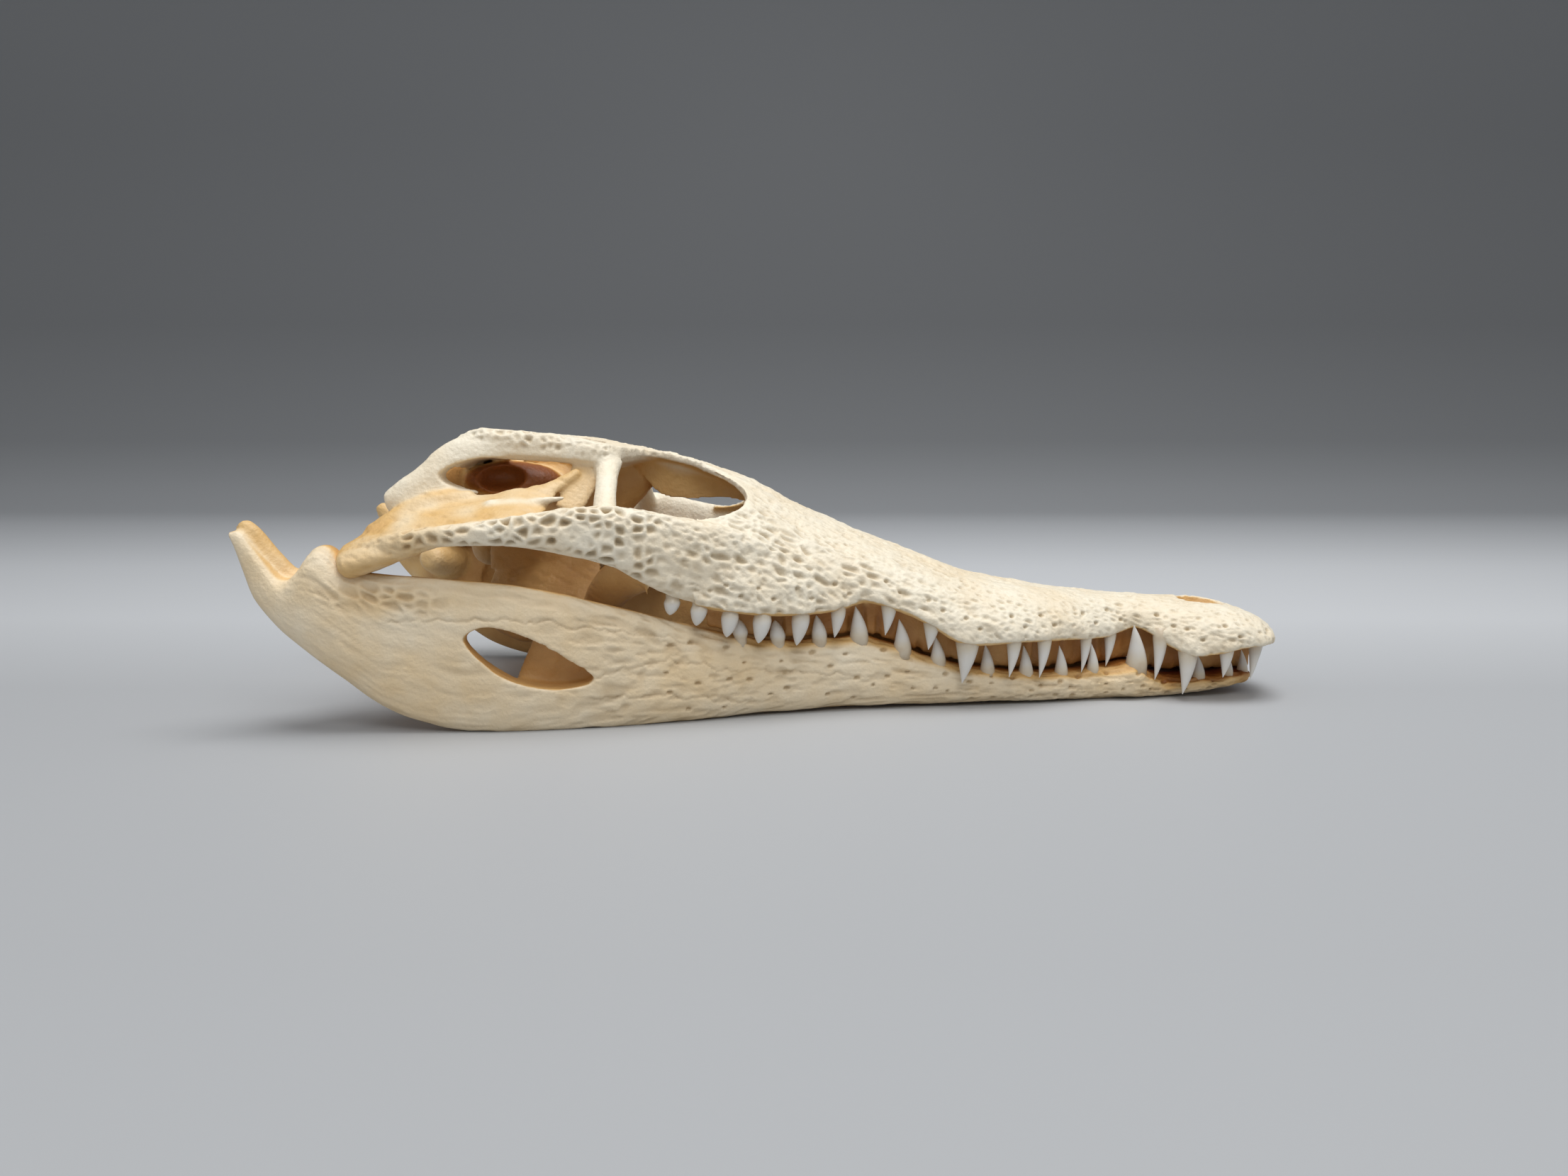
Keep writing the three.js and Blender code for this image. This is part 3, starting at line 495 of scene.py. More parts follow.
def snout_ring(x, inset=0, shrink=1):
    width = (float(upper_half_width(x)) - inset) * shrink
    margin = float(upper_margin(x)) + inset
    rise = (float(snout_top(x)) - 0.75 * inset - margin) * shrink
    a = np.linspace(0, math.pi, 72)
    y = -width * signed_power(np.cos(a), SNOUT_SIDE_POWER)
    z = margin + rise * np.abs(np.sin(a)) ** float(snout_roundness(x))
    shares = np.linspace(0.95, -0.95, 28)
    y = np.concatenate([y, shares * width])
    z = np.concatenate([z, margin + palate_height(shares) * min(1, rise / PALATE_FULL_DEPTH)])
    return section(x, y, z)


def upper_jaw():
    xs = np.concatenate([np.arange(-30, 157, 1.5), np.linspace(157, SNOUT_TIP_X, 10)])
    return loft([snout_ring(x) for x in xs])


def mouth_shade_sheet():
    """A sheet on the inner side of the upper teeth, down to the lower jaw: painted shade of the inside of
    the mouth, coloured as its stained inner bone.
    """
    rings = []
    for x in np.arange(-27, 157, 3.0):
        thickness = float(jaw_half_thickness(x))
        half = max(MOUTH_SHEET_SHARE * thickness, MOUTH_SHEET_LEAST_HALF)
        middle = float(jaw_middle(x)) + MOUTH_SHEET_INSET * thickness
        low = float(jaw_top(x)) + MOUTH_SHEET_GAP
        high = float(upper_margin(x)) + MOUTH_SHEET_ROOT
        rings.append(rounded_section(x, middle, half, low, high, MOUTH_SHEET_POWERS, 40))
    return loft(rings)


def face_hollow():
    shrink = profile(FACE_HOLLOW)
    wall = profile(FACE_WALL)
    return loft([snout_ring(x, float(wall(x)), float(shrink(x))) for x in np.linspace(-31, 2, 16)])


def cheek_bar():
    rings = []
    for x in np.linspace(-8, -128, 90):
        half = float(cheek_thickness(x)) / 2
        middle = half - float(cheek_outer(x))
        low, high = float(cheek_low(x)), float(cheek_top(x))
        rings.append(rounded_section(x, middle, half, low, high, CHEEK_POWERS, 48))
    return loft(rings)


def frontal_bar():
    """The narrow roof between the eyes: a thin rim, vaulted below down to a grooved keel."""
    a = np.linspace(0, math.pi / 2, 16)
    rings = []
    for x in np.linspace(4, -54, 50):
        half, edge, dip = float(roof_half_width(x)), float(roof_edge(x)), float(roof_dip(x))
        low = float(frontal_keel_low(x))
        lip = edge - FRONTAL_RIM
        vault_y = FRONTAL_KEEL_HALF + (half - 0.3 - FRONTAL_KEEL_HALF) * (1 - np.sin(a))
        vault_z = lip - (lip - low) * (1 - np.cos(a))
        keel = np.linspace(1, -1, 12)[1:-1]
        keel_z = low + OLFACTORY_GROOVE * np.sqrt(1 - keel**2)
        top = np.linspace(-1, 1, 24)
        y = np.concatenate([vault_y, keel * FRONTAL_KEEL_HALF, -vault_y[::-1], top * half])
        top_z = edge - dip * (1 - np.abs(top) ** 1.6)
        z = np.concatenate([vault_z, keel_z, vault_z[::-1], top_z])
        rings.append(section(x, y, z))
    return loft(rings)


def skull_table():
    rings = []
    for x in np.linspace(-43, -104, 52):
        half, edge, dip = float(roof_half_width(x)), float(roof_edge(x)), float(roof_dip(x))
        low = edge - float(table_thickness(x))
        top = [[-half, edge - 2.2], [-half + 1.6, edge], [-0.5 * half, edge - 0.6 * dip], [0, edge - dip]]
        under = [[half, low + 1.6], [half - 2.4, low], [0.5 * half, low - 0.4], [0, low - 0.8]]
        other = [[[-y, z] for y, z in points[2::-1]] for points in (top, under)]
        ring = np.array(densified(top + other[0] + under + other[1], 5))
        rings.append(section(x, *ring.T))
    return loft(rings)


def jaw_half():
    rings = []
    for x in np.concatenate([np.linspace(JAW_END_X, -126, 34), np.arange(-124.5, 156.4, 1.5), [156.5]]):
        middle, half = float(jaw_middle(x)), float(jaw_half_thickness(x))
        low, high = float(jaw_low(x)), float(jaw_top(x))
        rings.append(rounded_section(x, middle, half, low, high, JAW_POWERS, 56))
    return loft(rings)


def ear_opening():
    """The lens-shaped opening under the edge of the table."""
    return block(closed_curve(EAR_OPENING, 64), EAR_OPENING_Y)


def jaw_through():
    """The opening on the inner side of the jaw, behind the strut that shows in the window."""
    return block(np.array(densified(JAW_THROUGH, 4)), JAW_THROUGH_Y)


def jaw_window():
    """The opening on the outer side of the jaw, with a floor that turns in towards the front."""
    points, faces = block(closed_curve(JAW_WINDOW, 64), JAW_WINDOW_Y)
    pivot = np.array([JAW_WINDOW[2][0], 0, 0])
    swing = np.array(Matrix.Rotation(math.radians(JAW_WINDOW_TURN), 3, "Z"))
    return (points - pivot) @ swing.T + pivot + [0, JAW_WINDOW_FLOOR_Y, 0], faces


# From raw solids to one sculpted mesh

def mesh_object(name, solid):
    points, faces = solid
    mesh = bpy.data.meshes.new(name)
    mesh.from_pydata(points.tolist(), [], faces)
    made = bpy.data.objects.new(name, mesh)
    bpy.context.scene.collection.objects.link(made)
    return made


def smooth(mesh):
    mesh.polygons.foreach_set("use_smooth", np.ones(len(mesh.polygons), bool))


def keep_values(mesh, name, values):
    """Gives each point of the mesh its value under this name."""
    layer = mesh.attributes.new(name, "FLOAT", "POINT")
    layer.data.foreach_set("value", values.astype(np.float32))


def applied(made):
    """The object with its modifiers turned into its mesh."""
    bpy.context.view_layer.update()
    shown = made.evaluated_get(bpy.context.evaluated_depsgraph_get())
    mesh = bpy.data.meshes.new_from_object(shown)
    made.modifiers.clear()
    made.data = mesh
    return made


def cut(solid, cutters):
    """The solid with the cutters taken out of it."""
    made = mesh_object("carved", solid)
    tools = [mesh_object("cutter", cutter) for cutter in cutters]
    for tool in tools:
        carve = made.modifiers.new("carve", "BOOLEAN")
        carve.operation = "DIFFERENCE"
        carve.solver = "EXACT"
        carve.object = tool
    applied(made)
    points = np.empty(len(made.data.vertices) * 3)
    made.data.vertices.foreach_get("co", points)
    faces = [list(polygon.vertices) for polygon in made.data.polygons]
    for gone in [made, *tools]:
        bpy.data.objects.remove(gone)
    return points.reshape(-1, 3), faces


class Sculpt:
    """A fused, evenly fine mesh of several solids that remembers which bone each point came from."""

    def __init__(self, name, bones):
        self.bone_names = [bone for bone, _ in bones]
        solids = [solid for _, solid in bones]
        points, faces = joined(solids)
        origin = np.repeat(np.arange(len(bones)), [len(solid[0]) for solid in solids])
        self.object = mesh_object(name, (points, faces))
        skin = self.object.modifiers.new("skin", "REMESH")
        skin.mode = "VOXEL"
        skin.voxel_size = VOXEL
        applied(self.object)
        mesh = self.object.data
        self.points = np.empty(len(mesh.vertices) * 3)
        mesh.vertices.foreach_get("co", self.points)
        self.points = self.points.reshape(-1, 3)
        edges = np.empty(len(mesh.edges) * 2, np.int64)
        mesh.edges.foreach_get("vertices", edges)
        self.edges = edges.reshape(-1, 2)
        self.degree = np.maximum(np.bincount(edges, minlength=len(self.points)), 1)
        corners = np.empty(len(mesh.loops), np.int64)
        mesh.loops.foreach_get("vertex_index", corners)
        self.quads = corners.reshape(-1, 4)
        self.find_bones(points, origin)
        self.stain_and_shade = np.zeros(len(self.points))
        self.painted_pit_shade = np.zeros(len(self.points))

    def find_bones(self, points, origin):
        tree = kdtree.KDTree(len(points))
        for i, p in enumerate(points):
            tree.insert(p, i)
        tree.balance()
        self.bone = origin[[tree.find(p)[1] for p in self.points]]

    def averaged(self, values):
        """The mean of each point's neighbours."""
        a, b = self.edges.T
        count = len(self.points)
        columns = values.reshape(count, -1)
        total = np.empty_like(columns)
        for k in range(columns.shape[1]):
            column = columns[:, k]
            total[:, k] = np.bincount(a, column[b], count) + np.bincount(b, column[a], count)
        return (total / self.degree[:, None]).reshape(values.shape)

    def blurred(self, values, rounds):
        values = values.astype(float)
        for _ in range(rounds):
            values = 0.5 * values + 0.5 * self.averaged(values)
        return values

    def normals(self):
        p = self.points[self.quads]
        face = np.cross(p[:, 2] - p[:, 0], p[:, 3] - p[:, 1])
        total = np.zeros_like(self.points)
        for k in range(4):
            for axis in range(3):
                total[:, axis] += np.bincount(self.quads[:, k], face[:, axis], len(total))
        return total / np.maximum(np.linalg.norm(total, axis=1), 1e-12)[:, None]

    def relax(self, rounds):
        """Softens the whole surface without shrinking it much."""
        for i in range(rounds):
            pull = self.averaged(self.points) - self.points
            self.points = self.points + pull * (RELAX_PULL if i % 2 == 0 else RELAX_PUSH)

    def fill_creases(self, rounds):
        """Fills inner corners with fillets and leaves ridges as they are."""
        for i in range(rounds):
            if i % CREASE_NORMALS_EVERY == 0:
                out = self.normals()
            pull = self.averaged(self.points) - self.points
            lift = np.maximum((pull * out).sum(1), 0)
            self.points = self.points + CREASE_FILL * out * lift[:, None]

    def settle(self, crease_rounds):
        """Grows the solids together: soft, with filled inner corners."""
        self.relax(RELAX_ROUNDS)
        self.fill_creases(crease_rounds)
        self.relax(RELAX_ROUNDS)

    def share(self, *names, rounds=6):
        """How far each point belongs to these bones, from 0 to 1, soft at their borders."""
        wanted = [i for i, name in enumerate(self.bone_names) if name.split(".")[0] in names]
        return self.blurred(np.isin(self.bone, wanted), rounds)

    def carve(self, dent, swell):
        """Moves the surface out by swell and in by dent, in millimetres, and keeps the dents as painted
        shade in the pits, darker the deeper they are.
        """
        self.points = self.points + self.normals() * (swell - dent)[:, None]
        self.painted_pit_shade = np.maximum(self.painted_pit_shade, dent / FULL_PIT_SHADE_DEPTH)

    def finish(self):
        mesh = self.object.data
        mesh.vertices.foreach_set("co", (self.points * MM).ravel())
        # The bone's stains with painted shade mixed in, and painted shade in its pits, kept at the points
        # for its material.
        keep_values(mesh, "stain_and_shade", np.clip(self.stain_and_shade, 0, 1))
        keep_values(mesh, "painted_pit_shade", np.clip(self.painted_pit_shade, 0, 1))
        smooth(mesh)
        mesh.update()
        mesh.validate()


def both(name, solid):
    return [(name, solid), (name, mirrored(solid))]


def cranium():
    orbit = oval(**ORBIT)
    fenestra = post(**SUBORBITAL_FENESTRA)
    holes = [face_hollow(), orbit, mirrored(orbit), fenestra, mirrored(fenestra), oval(**NARIS)]
    temporal = post(**UPPER_TEMPORAL_FENESTRA)
    bones = [
        ("snout", cut(upper_jaw(), holes)),
        ("frontal", frontal_bar()),
        ("table", cut(skull_table(), [temporal, mirrored(temporal)])),
        ("braincase", cut(limb(BRAINCASE), [oval(**FORAMEN_MAGNUM)])),
        ("braincase", cut(limb(OCCIPUT), [oval(**FORAMEN_MAGNUM)])),
        ("braincase", oval(**OCCIPITAL_CONDYLE)),
        ("braincase", oval(**BASAL_TUBER)),
        ("palate", limb(PALATINE)),
    ]
    bones += both("mouth", mouth_shade_sheet())
    bones += both("cheek", cheek_bar())
    bones += both("squamosal", cut(limb(SQUAMOSAL_PRONG), [ear_opening()]))
    bones += both("quadrate", limb(QUADRATE))
    bones += both("quadrate", limb(QUADRATE_CREST))
    bones += both("bar", limb(QUADRATE_SPIKE))
    bones += both("wall", limb(INNER_WALL, up=(0, 1, 0)))
    bones += both("quadrate", limb(QUADRATE_ROOT))
    bones += both("ear", cut(oval(**EAR_CAPSULE), [oval(**EAR_HOLE)]))
    bones += both("bar", limb(POSTORBITAL_BAR, up=(1, 0, 0)))
    bones += both("palate", limb(PTERYGOID_WING, up=(0, 1, 0)))
    bones += both("palate", limb(PTERYGOID_LAMINA, up=(0, 1, 0)))
    bones += both("palate", limb(ECTOPTERYGOID, up=(1, 0, 0)))
    made = Sculpt("cranium", bones)
    made.settle(CRANIUM_CREASE_ROUNDS)
    return made


def mandible(name, side):
    bar = cut(jaw_half(), [jaw_window(), jaw_through(), limb(JAW_TROUGH)])
    bones = [("jaw", bar), ("articular", limb(ARTICULAR)), ("articular", limb(RETROARTICULAR_RIDGE))]
    bones.append(("strut", limb(JAW_STRUT, up=(0, 1, 0))))
    if side > 0:
        bones = [(bone, mirrored(solid)) for bone, solid in bones]
    made = Sculpt(name, bones)
    made.settle(JAW_CREASE_ROUNDS)
    return made


# Surface of the bones: cell sizes along x, y and z, depths and slopes
FURROW_CELL = (6.4, 2.7, 2.7)
CRUMB_CELL = (2.8, 1.7, 1.7)
HONEYCOMB_CELL = (4.0, 3.2, 3.2)
ROOF_PIT_CELL = 2.7
HONEYCOMB_DEPTH = 3.2
FURROW_SLOPE = 0.3
STREAK_SLOPE = 0.5
SOFT_RIM = 0.9
HONEYCOMB_RIM = 0.85
NERVE_HOLE_DEPTH = 0.9
NERVE_HOLE_SHADE = 1.6
SOCKET_SWELL = 0.8
# Ear recess: darkest red-brown, its stain with painted shade of the recess.
EAR_STAIN_AND_SHADE = {"at": [-88, -25, 73], "size": [19, 11, 7]}
JAW_GRAIN_HEIGHT = 30
JAW_GROOVE_CELL = (19, 1.7, 1.7)
JAW_HAIR_CELL = (9, 1.05, 1.05)
JAW_REAR_PIT_CELL = (5.2, 2.9, 2.9)
JAW_FRONT_PIT_CELL = (3.4, 1.9, 1.9)
JAW_NERVE_LEVELS = (0.28, 0.55, 0.85)
JAW_NERVE_SPACING = 9.5
JAW_SOCKET_SWELL = 1.0
JAW_SEAMS = [
    [[-118, 33], [-100, 34], [-80, 33.4], [-62, 30.6], [-46, 28], [-28, 24]],
    [[-60, 15.2], [-48, 18.6], [-34, 19], [-18, 15.6], [0, 13.4], [22, 11.6]],
    [[-62, 9], [-46, 9.6], [-30, 8], [-12, 5]],
]


def spots(points, centres, radius, stretch):
    """Small round holes at [x, z] centres, 1 in the middle of each."""
    found = np.zeros(len(points))
    for x, z in centres:
        near = np.flatnonzero(np.abs(points[:, 0] - x) < radius * stretch * 1.5)
        away = np.hypot((points[near, 0] - x) / stretch, points[near, 2] - z)
        found[near] = np.maximum(found[near], smoothstep(radius, 0.3 * radius, away))
    return found


def pits(points, size, seed, rim):
    """Rounded hollows of uneven depth with ridges between them: 0 on a ridge, up to 1 in a hollow."""
    first, second, number = cells(points, size, seed)
    return smoothstep(0.05, rim, second - first) * (0.4 + 0.6 * number)


def seam(points, knots, half_width):
    """A fine wavy line where two bones meet, through [x, z] knots: 1 on the line."""
    line = profile(knots)
    x, z = points[:, 0], points[:, 2]
    wavy = line(x) + 0.9 * noise(points * [1, 0, 0], 3.4, 91) + 0.4 * noise(points * [1, 0, 0], 1.3, 92)
    inside = smoothstep(knots[0][0], knots[0][0] + 2, x) * smoothstep(knots[-1][0], knots[-1][0] - 2, x)
    return smoothstep(half_width, 0.2 * half_width, np.abs(z - wavy)) * inside


def carve_cranium(made):
    """Furrows on the snout, honeycomb pits on the cheeks, small pits on the roof, and the stains, with
    painted shade in the pits, holes, ear recess, nostril, foramen magnum and the inside of the mouth.
    """
    p = made.points
    x, z = p[:, 0], p[:, 2]
    out = made.normals()
    lateral = out[:, 1] * np.sign(p[:, 1])
    outer = smoothstep(-0.25, 0.25, 0.75 * lateral + 0.65 * out[:, 2])
    snout = made.share("snout") * outer
    cheek = made.share("cheek") * smoothstep(-0.1, 0.3, lateral + 0.3 * out[:, 2])
    on_roof = smoothstep(-7, -4, z - roof_edge(x))
    roof = made.share("table", "frontal") * smoothstep(-0.2, 0.3, out[:, 2] + 0.6 * lateral) * on_roof
    upward = smoothstep(0.5, 0.95, out[:, 2])
    rear_face = smoothstep(70, 10, x)

    warp = np.stack([noise(p, 5, seed) for seed in (15, 16, 17)], axis=1)
    grain = p + 0.9 * warp + np.outer(FURROW_SLOPE * x, [0, 0, 1])
    furrows = pits(grain, FURROW_CELL, 11, SOFT_RIM)
    crumbs = pits(grain, CRUMB_CELL, 12, SOFT_RIM)
    honey_band = smoothstep(-120, -104, x) * smoothstep(-30, -48, x)
    rough = np.clip(snout + cheek * (1 - honey_band), 0, 1)
    dent = rough * (1 - 0.4 * upward) * (0.4 + 1.2 * rear_face) * furrows
    dent += rough * (0.9 - 0.2 * rear_face) * crumbs
    swell = 0.5 * noise(grain, (11, 4.5, 4.5), 21) + 0.2 * noise(grain, (4, 1.9, 1.9), 22)
    swell = swell * np.clip(snout + cheek, 0, 1)

    honeycomb = pits(p + 1.1 * warp, HONEYCOMB_CELL, 31, HONEYCOMB_RIM)
    dent += HONEYCOMB_DEPTH * honeycomb * cheek * honey_band
    roof_depth = 0.8 + 0.9 * made.share("table")
    dent += roof_depth * pits(p + 0.7 * warp, ROOF_PIT_CELL, 41, SOFT_RIM) * roof
    swell += 0.35 * noise(p, 6, 42) * roof
    swell += 0.07 * noise(p, 1.1, 51) + 0.12 * noise(p, 2.8, 52)
    # Ribs on the sheet inside the mouth; their dents also add painted shade.
    ribs = smoothstep(0.0, 0.6, noise(p, (2.2, 6, 9), 54))
    dent += 0.8 * ribs * made.share("mouth")
    slanted = p + np.outer(STREAK_SLOPE * x, [0, 0, 1])
    streaks = smoothstep(0.0, 0.7, noise(slanted, (9, 1.5, 1.5), 53))
    dent += 0.25 * streaks * made.share("quadrate", "palate")

    rows = []
    for tx, _, radius in PREMAXILLA_TEETH + MAXILLA_TEETH:
        margin = float(upper_margin(tx))
        rows.append([tx + 3.4, margin + 4.2])
        rows.append([tx - 1.0, margin + 7.5])
        reach = np.exp(-(((x - tx) / (1.2 * radius)) ** 2) - ((z - margin - 1.2) / 2.6) ** 2)
        swell += SOCKET_SWELL * reach * snout * smoothstep(0.2, 0.6, lateral)
    holes = NERVE_HOLE_DEPTH * spots(p, rows, 0.8, 1.4) * snout * smoothstep(0.3, 0.6, lateral)
    right_side = p * [1, 0, 1] - np.outer(np.abs(p[:, 1]), [0, 1, 0])
    eye = np.linalg.norm((right_side - ORBIT["at"]) / ORBIT["size"], axis=1)
    dent = dent * smoothstep(1.02, 1.22, eye)
    made.carve(dent, swell)
    # Nerve holes, sunk in and filled with painted shade.
    made.points = made.points - out * holes[:, None]
    made.painted_pit_shade = np.maximum(made.painted_pit_shade, NERVE_HOLE_SHADE * holes)
    made.relax(2)

    inner = 1 - outer
    patchy = 0.5 + 0.5 * noise(p, 6, 62)
    # Colour along the bone's ramp: its own stains, with painted shade added where noted.
    stain_and_shade = 0.03 + 0.05 * noise(p, 14, 61)
    stain_and_shade += made.share("quadrate", rounds=16) * (0.14 + 0.28 * patchy)
    middle = smoothstep(46, 36, np.abs(p[:, 1]))
    stain_and_shade += 0.48 * made.share("braincase", rounds=40) * middle
    stain_and_shade += 0.48 * made.share("palate", rounds=20)
    # Amber on the inward and downward faces of the snout and frontal: stain of the inner bone, with painted
    # shade inside the snout.
    stain_and_shade += 0.42 * inner * made.share("frontal", "snout", rounds=20)
    stain_and_shade += (0.08 + 0.26 * patchy) * made.share("cheek") * smoothstep(-86, -114, x)
    # Amber-brown on the sheet inside the mouth: stain of the inner bone, with painted shade of the closed
    # mouth.
    stain_and_shade += (0.5 + 0.16 * patchy) * made.share("mouth")
    stain_and_shade += 0.25 * made.share("wall", rounds=12)
    # Darker on the outer faces just below the edge of the roof.
    under_roof = smoothstep(-2, -5, z - roof_edge(x))
    under_roof = under_roof * smoothstep(-2, -5, np.abs(p[:, 1]) - roof_half_width(x))
    stain_and_shade += 0.36 * under_roof * outer * made.share("frontal", "table", rounds=20)
    # Darkest red-brown in the ear recess: its stain, with painted shade of the recess.
    ear = (((right_side - EAR_STAIN_AND_SHADE["at"]) / EAR_STAIN_AND_SHADE["size"]) ** 2).sum(1)
    stain_and_shade = np.maximum(stain_and_shade, 0.9 * smoothstep(1.1, 0.5, ear))
    stain_and_shade = np.maximum(stain_and_shade, 0.4 * made.share("ear", rounds=10))
    # Painted shade inside the foramen magnum.
    canal = np.linalg.norm((p - FORAMEN_MAGNUM["at"]) / FORAMEN_MAGNUM["size"], axis=1)
    stain_and_shade = np.maximum(stain_and_shade, 0.9 * smoothstep(1.25, 0.9, canal) * smoothstep(-110, -102, x))
    # Painted shade inside the nostril.
    nose = np.hypot((x - NARIS["at"][0]) / NARIS["size"][0], p[:, 1] / NARIS["size"][1])
    in_nose = smoothstep(1.05, 0.8, nose) * smoothstep(31, 26, z) * smoothstep(22, 24, z)
    stain_and_shade = np.maximum(stain_and_shade, 0.7 * in_nose)
    made.stain_and_shade = stain_and_shade


def carve_jaw(made):
    """Long grooves, rows of small holes, pits behind, and the stains of one half of the lower jaw, with
    painted shade in its pits and holes and on its faces inside the closed mouth.
    """
    p = made.points
    x, y, z = p[:, 0], np.abs(p[:, 1]), p[:, 2]
    out = made.normals()
    lateral = out[:, 1] * np.sign(p[:, 1])
    depth = y + jaw_middle(x) + 0.15 * jaw_half_thickness(x)
    deep = smoothstep(0, -1.5, depth) * smoothstep(-124, -118, x)
    outer = smoothstep(-0.1, 0.35, lateral) * (1 - deep)
    warp = np.stack([noise(p, 7, seed) for seed in (65, 66, 67)], axis=1)
    low, high = jaw_low(x), jaw_top(x)
    level = (z - low) / (high - low) * np.sqrt(JAW_GRAIN_HEIGHT * (high - low))
    grain = np.column_stack([x, p[:, 1], level]) + 0.8 * warp
    groove = smoothstep(0.15, 0.75, noise(grain, JAW_GROOVE_CELL, 71))
    hair = smoothstep(0.0, 0.7, noise(grain, JAW_HAIR_CELL, 74))
    calm = 0.45 + 0.55 * smoothstep(-90, -40, x)
    dent = (0.5 * groove + 0.34 * hair) * outer * calm * smoothstep(-146, -136, x)
    swell = 0.1 * noise(grain, (6, 1.2, 1.2), 72) + 0.45 * noise(p, (14, 8, 8), 73) * outer

    rear = np.exp(-(((x + 118) / 17) ** 2) - ((z - 39.5 + 0.1 * (x + 118)) / 4.2) ** 2)
    rear_pits = pits(grain, JAW_REAR_PIT_CELL, 81, 0.45)
    dent += 1.5 * rear_pits * np.clip(1.3 * rear - 0.15, 0, 1) * outer
    front = smoothstep(20, 80, x)
    dent += 0.3 * pits(grain, JAW_FRONT_PIT_CELL, 82, 0.55) * outer * front
    for knots in JAW_SEAMS:
        dent += 0.35 * seam(p, knots, 0.55) * outer

    for tx, _, radius in DENTARY_TEETH:
        rim = float(jaw_top(tx)) - 1
        reach = np.exp(-(((x - tx) / (1.4 * radius)) ** 2) - ((z - rim) / 2.6) ** 2)
        swell = swell + JAW_SOCKET_SWELL * reach * smoothstep(-0.3, 0.3, lateral)

    draw = np.random.default_rng(5)
    holes = np.zeros(len(p))
    for share in JAW_NERVE_LEVELS:
        for along in np.arange(-40, 150, JAW_NERVE_SPACING):
            fx = along + draw.uniform(-4, 4)
            low, high = float(jaw_low(fx)), float(jaw_top(fx))
            at = [fx, low + (share + draw.uniform(-0.14, 0.1)) * (high - low)]
            holes = np.maximum(holes, spots(p, [at], draw.uniform(0.5, 0.95), 1.7))
    holes = 0.8 * holes * outer
    made.carve(dent, swell)
    # Nerve holes, sunk in and filled with painted shade.
    made.points = made.points - out * holes[:, None]
    made.painted_pit_shade = np.maximum(made.painted_pit_shade, NERVE_HOLE_SHADE * holes)

    inner = 1 - outer
    patchy = 0.5 + 0.5 * noise(p, 7, 62)
    # Pale tone with random patches, amber on the inner faces: stain of the inner bone, with painted shade
    # inside the closed mouth.
    stain_and_shade = 0.14 + 0.06 * noise(p, 16, 63) + 0.4 * inner
    stain_and_shade += 0.3 * smoothstep(112, 126, x) * smoothstep(1, 5, z) * (0.5 + patchy)
    # Amber on the upward faces from the middle forward, under the upper jaw: stain, with painted shade of
    # the closed mouth.
    stain_and_shade += 0.3 * smoothstep(0.4, 0.8, out[:, 2]) * smoothstep(-30, -10, x)
    stain_and_shade += 0.25 * rear * patchy * outer
    knob = np.maximum(made.share("articular"), smoothstep(-138, -146, x) * smoothstep(0.5, -0.2, lateral))
    stain_and_shade = stain_and_shade * (1 - knob) + knob * (0.28 + 0.2 * patchy)
    made.stain_and_shade = stain_and_shade


# Teeth

def tooth(x, y, z, length, radius, pointing):
    """One tooth from its root, bent backwards and leaning out to the right."""
    angles = turn(TOOTH_SIDES)
    blunt = float(smoothstep(30, -20, x))
    rings = []
    for share in TOOTH_SHARES:
        along = -TOOTH_ROOT if share < 0 else share * length
        crown = max(share, 0)
        neck = 1 - 0.24 * blunt * (1 - float(smoothstep(0, 0.35, crown)))
        width = neck * (1 - crown ** (1.25 + 1.1 * blunt)) ** (0.85 - 0.2 * blunt)
        width = radius * 1.04 * max(width, 0.04)
        middle_x = x - TOOTH_BACKWARD_BEND * crown * crown * length
        middle_y = y - TOOTH_OUTWARD_LEAN * along
        rings.append(
            np.stack(
                [
                    middle_x + width * np.cos(angles),
                    middle_y + width * np.sin(angles),
                    np.full(TOOTH_SIDES, z + pointing * along),
                ],
                axis=1,
            )
        )
    return loft(rings)


def upper_tooth(x, length, radius, reach=None):
    half = float(upper_half_width(x))
    y = -reach * half if reach else UPPER_TOOTH_INSET + radius - half
    return tooth(x, y, float(upper_margin(x)), length, radius, -1)


def lower_tooth(x, length, radius):
    y = float(jaw_middle(x)) - float(jaw_half_thickness(x)) + LOWER_TOOTH_INSET + radius
    return tooth(x, y, float(jaw_top(x)), length, radius, 1)


def tooth_row(name, teeth):
    points, faces = joined(teeth + [mirrored(t) for t in teeth])
    made = mesh_object(name, (points * MM, faces))
    smooth(made.data)
    rings = np.tile(np.repeat(1 - np.clip(TOOTH_SHARES, 0, 1), TOOTH_SIDES), 2 * len(teeth))
    keep_values(made.data, "root", TOOTH_ROOT_TINT * smoothstep(0.55, 1.0, rings))
    return made


# Materials

def colour_ramp(nodes, stops):
    ramp = nodes.new("ShaderNodeValToRGB")
    while len(ramp.color_ramp.elements) < len(stops):
        ramp.color_ramp.elements.new(0.5)
    for element, (place, colour) in zip(ramp.color_ramp.elements, stops):
        element.position = place
        element.color = (*colour, 1)
    return ramp


def maths(nodes, links, operation, *inputs):
    """A maths node with its inputs wired to sockets or set to numbers."""
    node = nodes.new("ShaderNodeMath")
    node.operation = operation
    for socket, value in zip(node.inputs, inputs):
        if isinstance(value, bpy.types.NodeSocket):
            links.new(value, socket)
        else:
            socket.default_value = value
    return node.outputs["Value"]


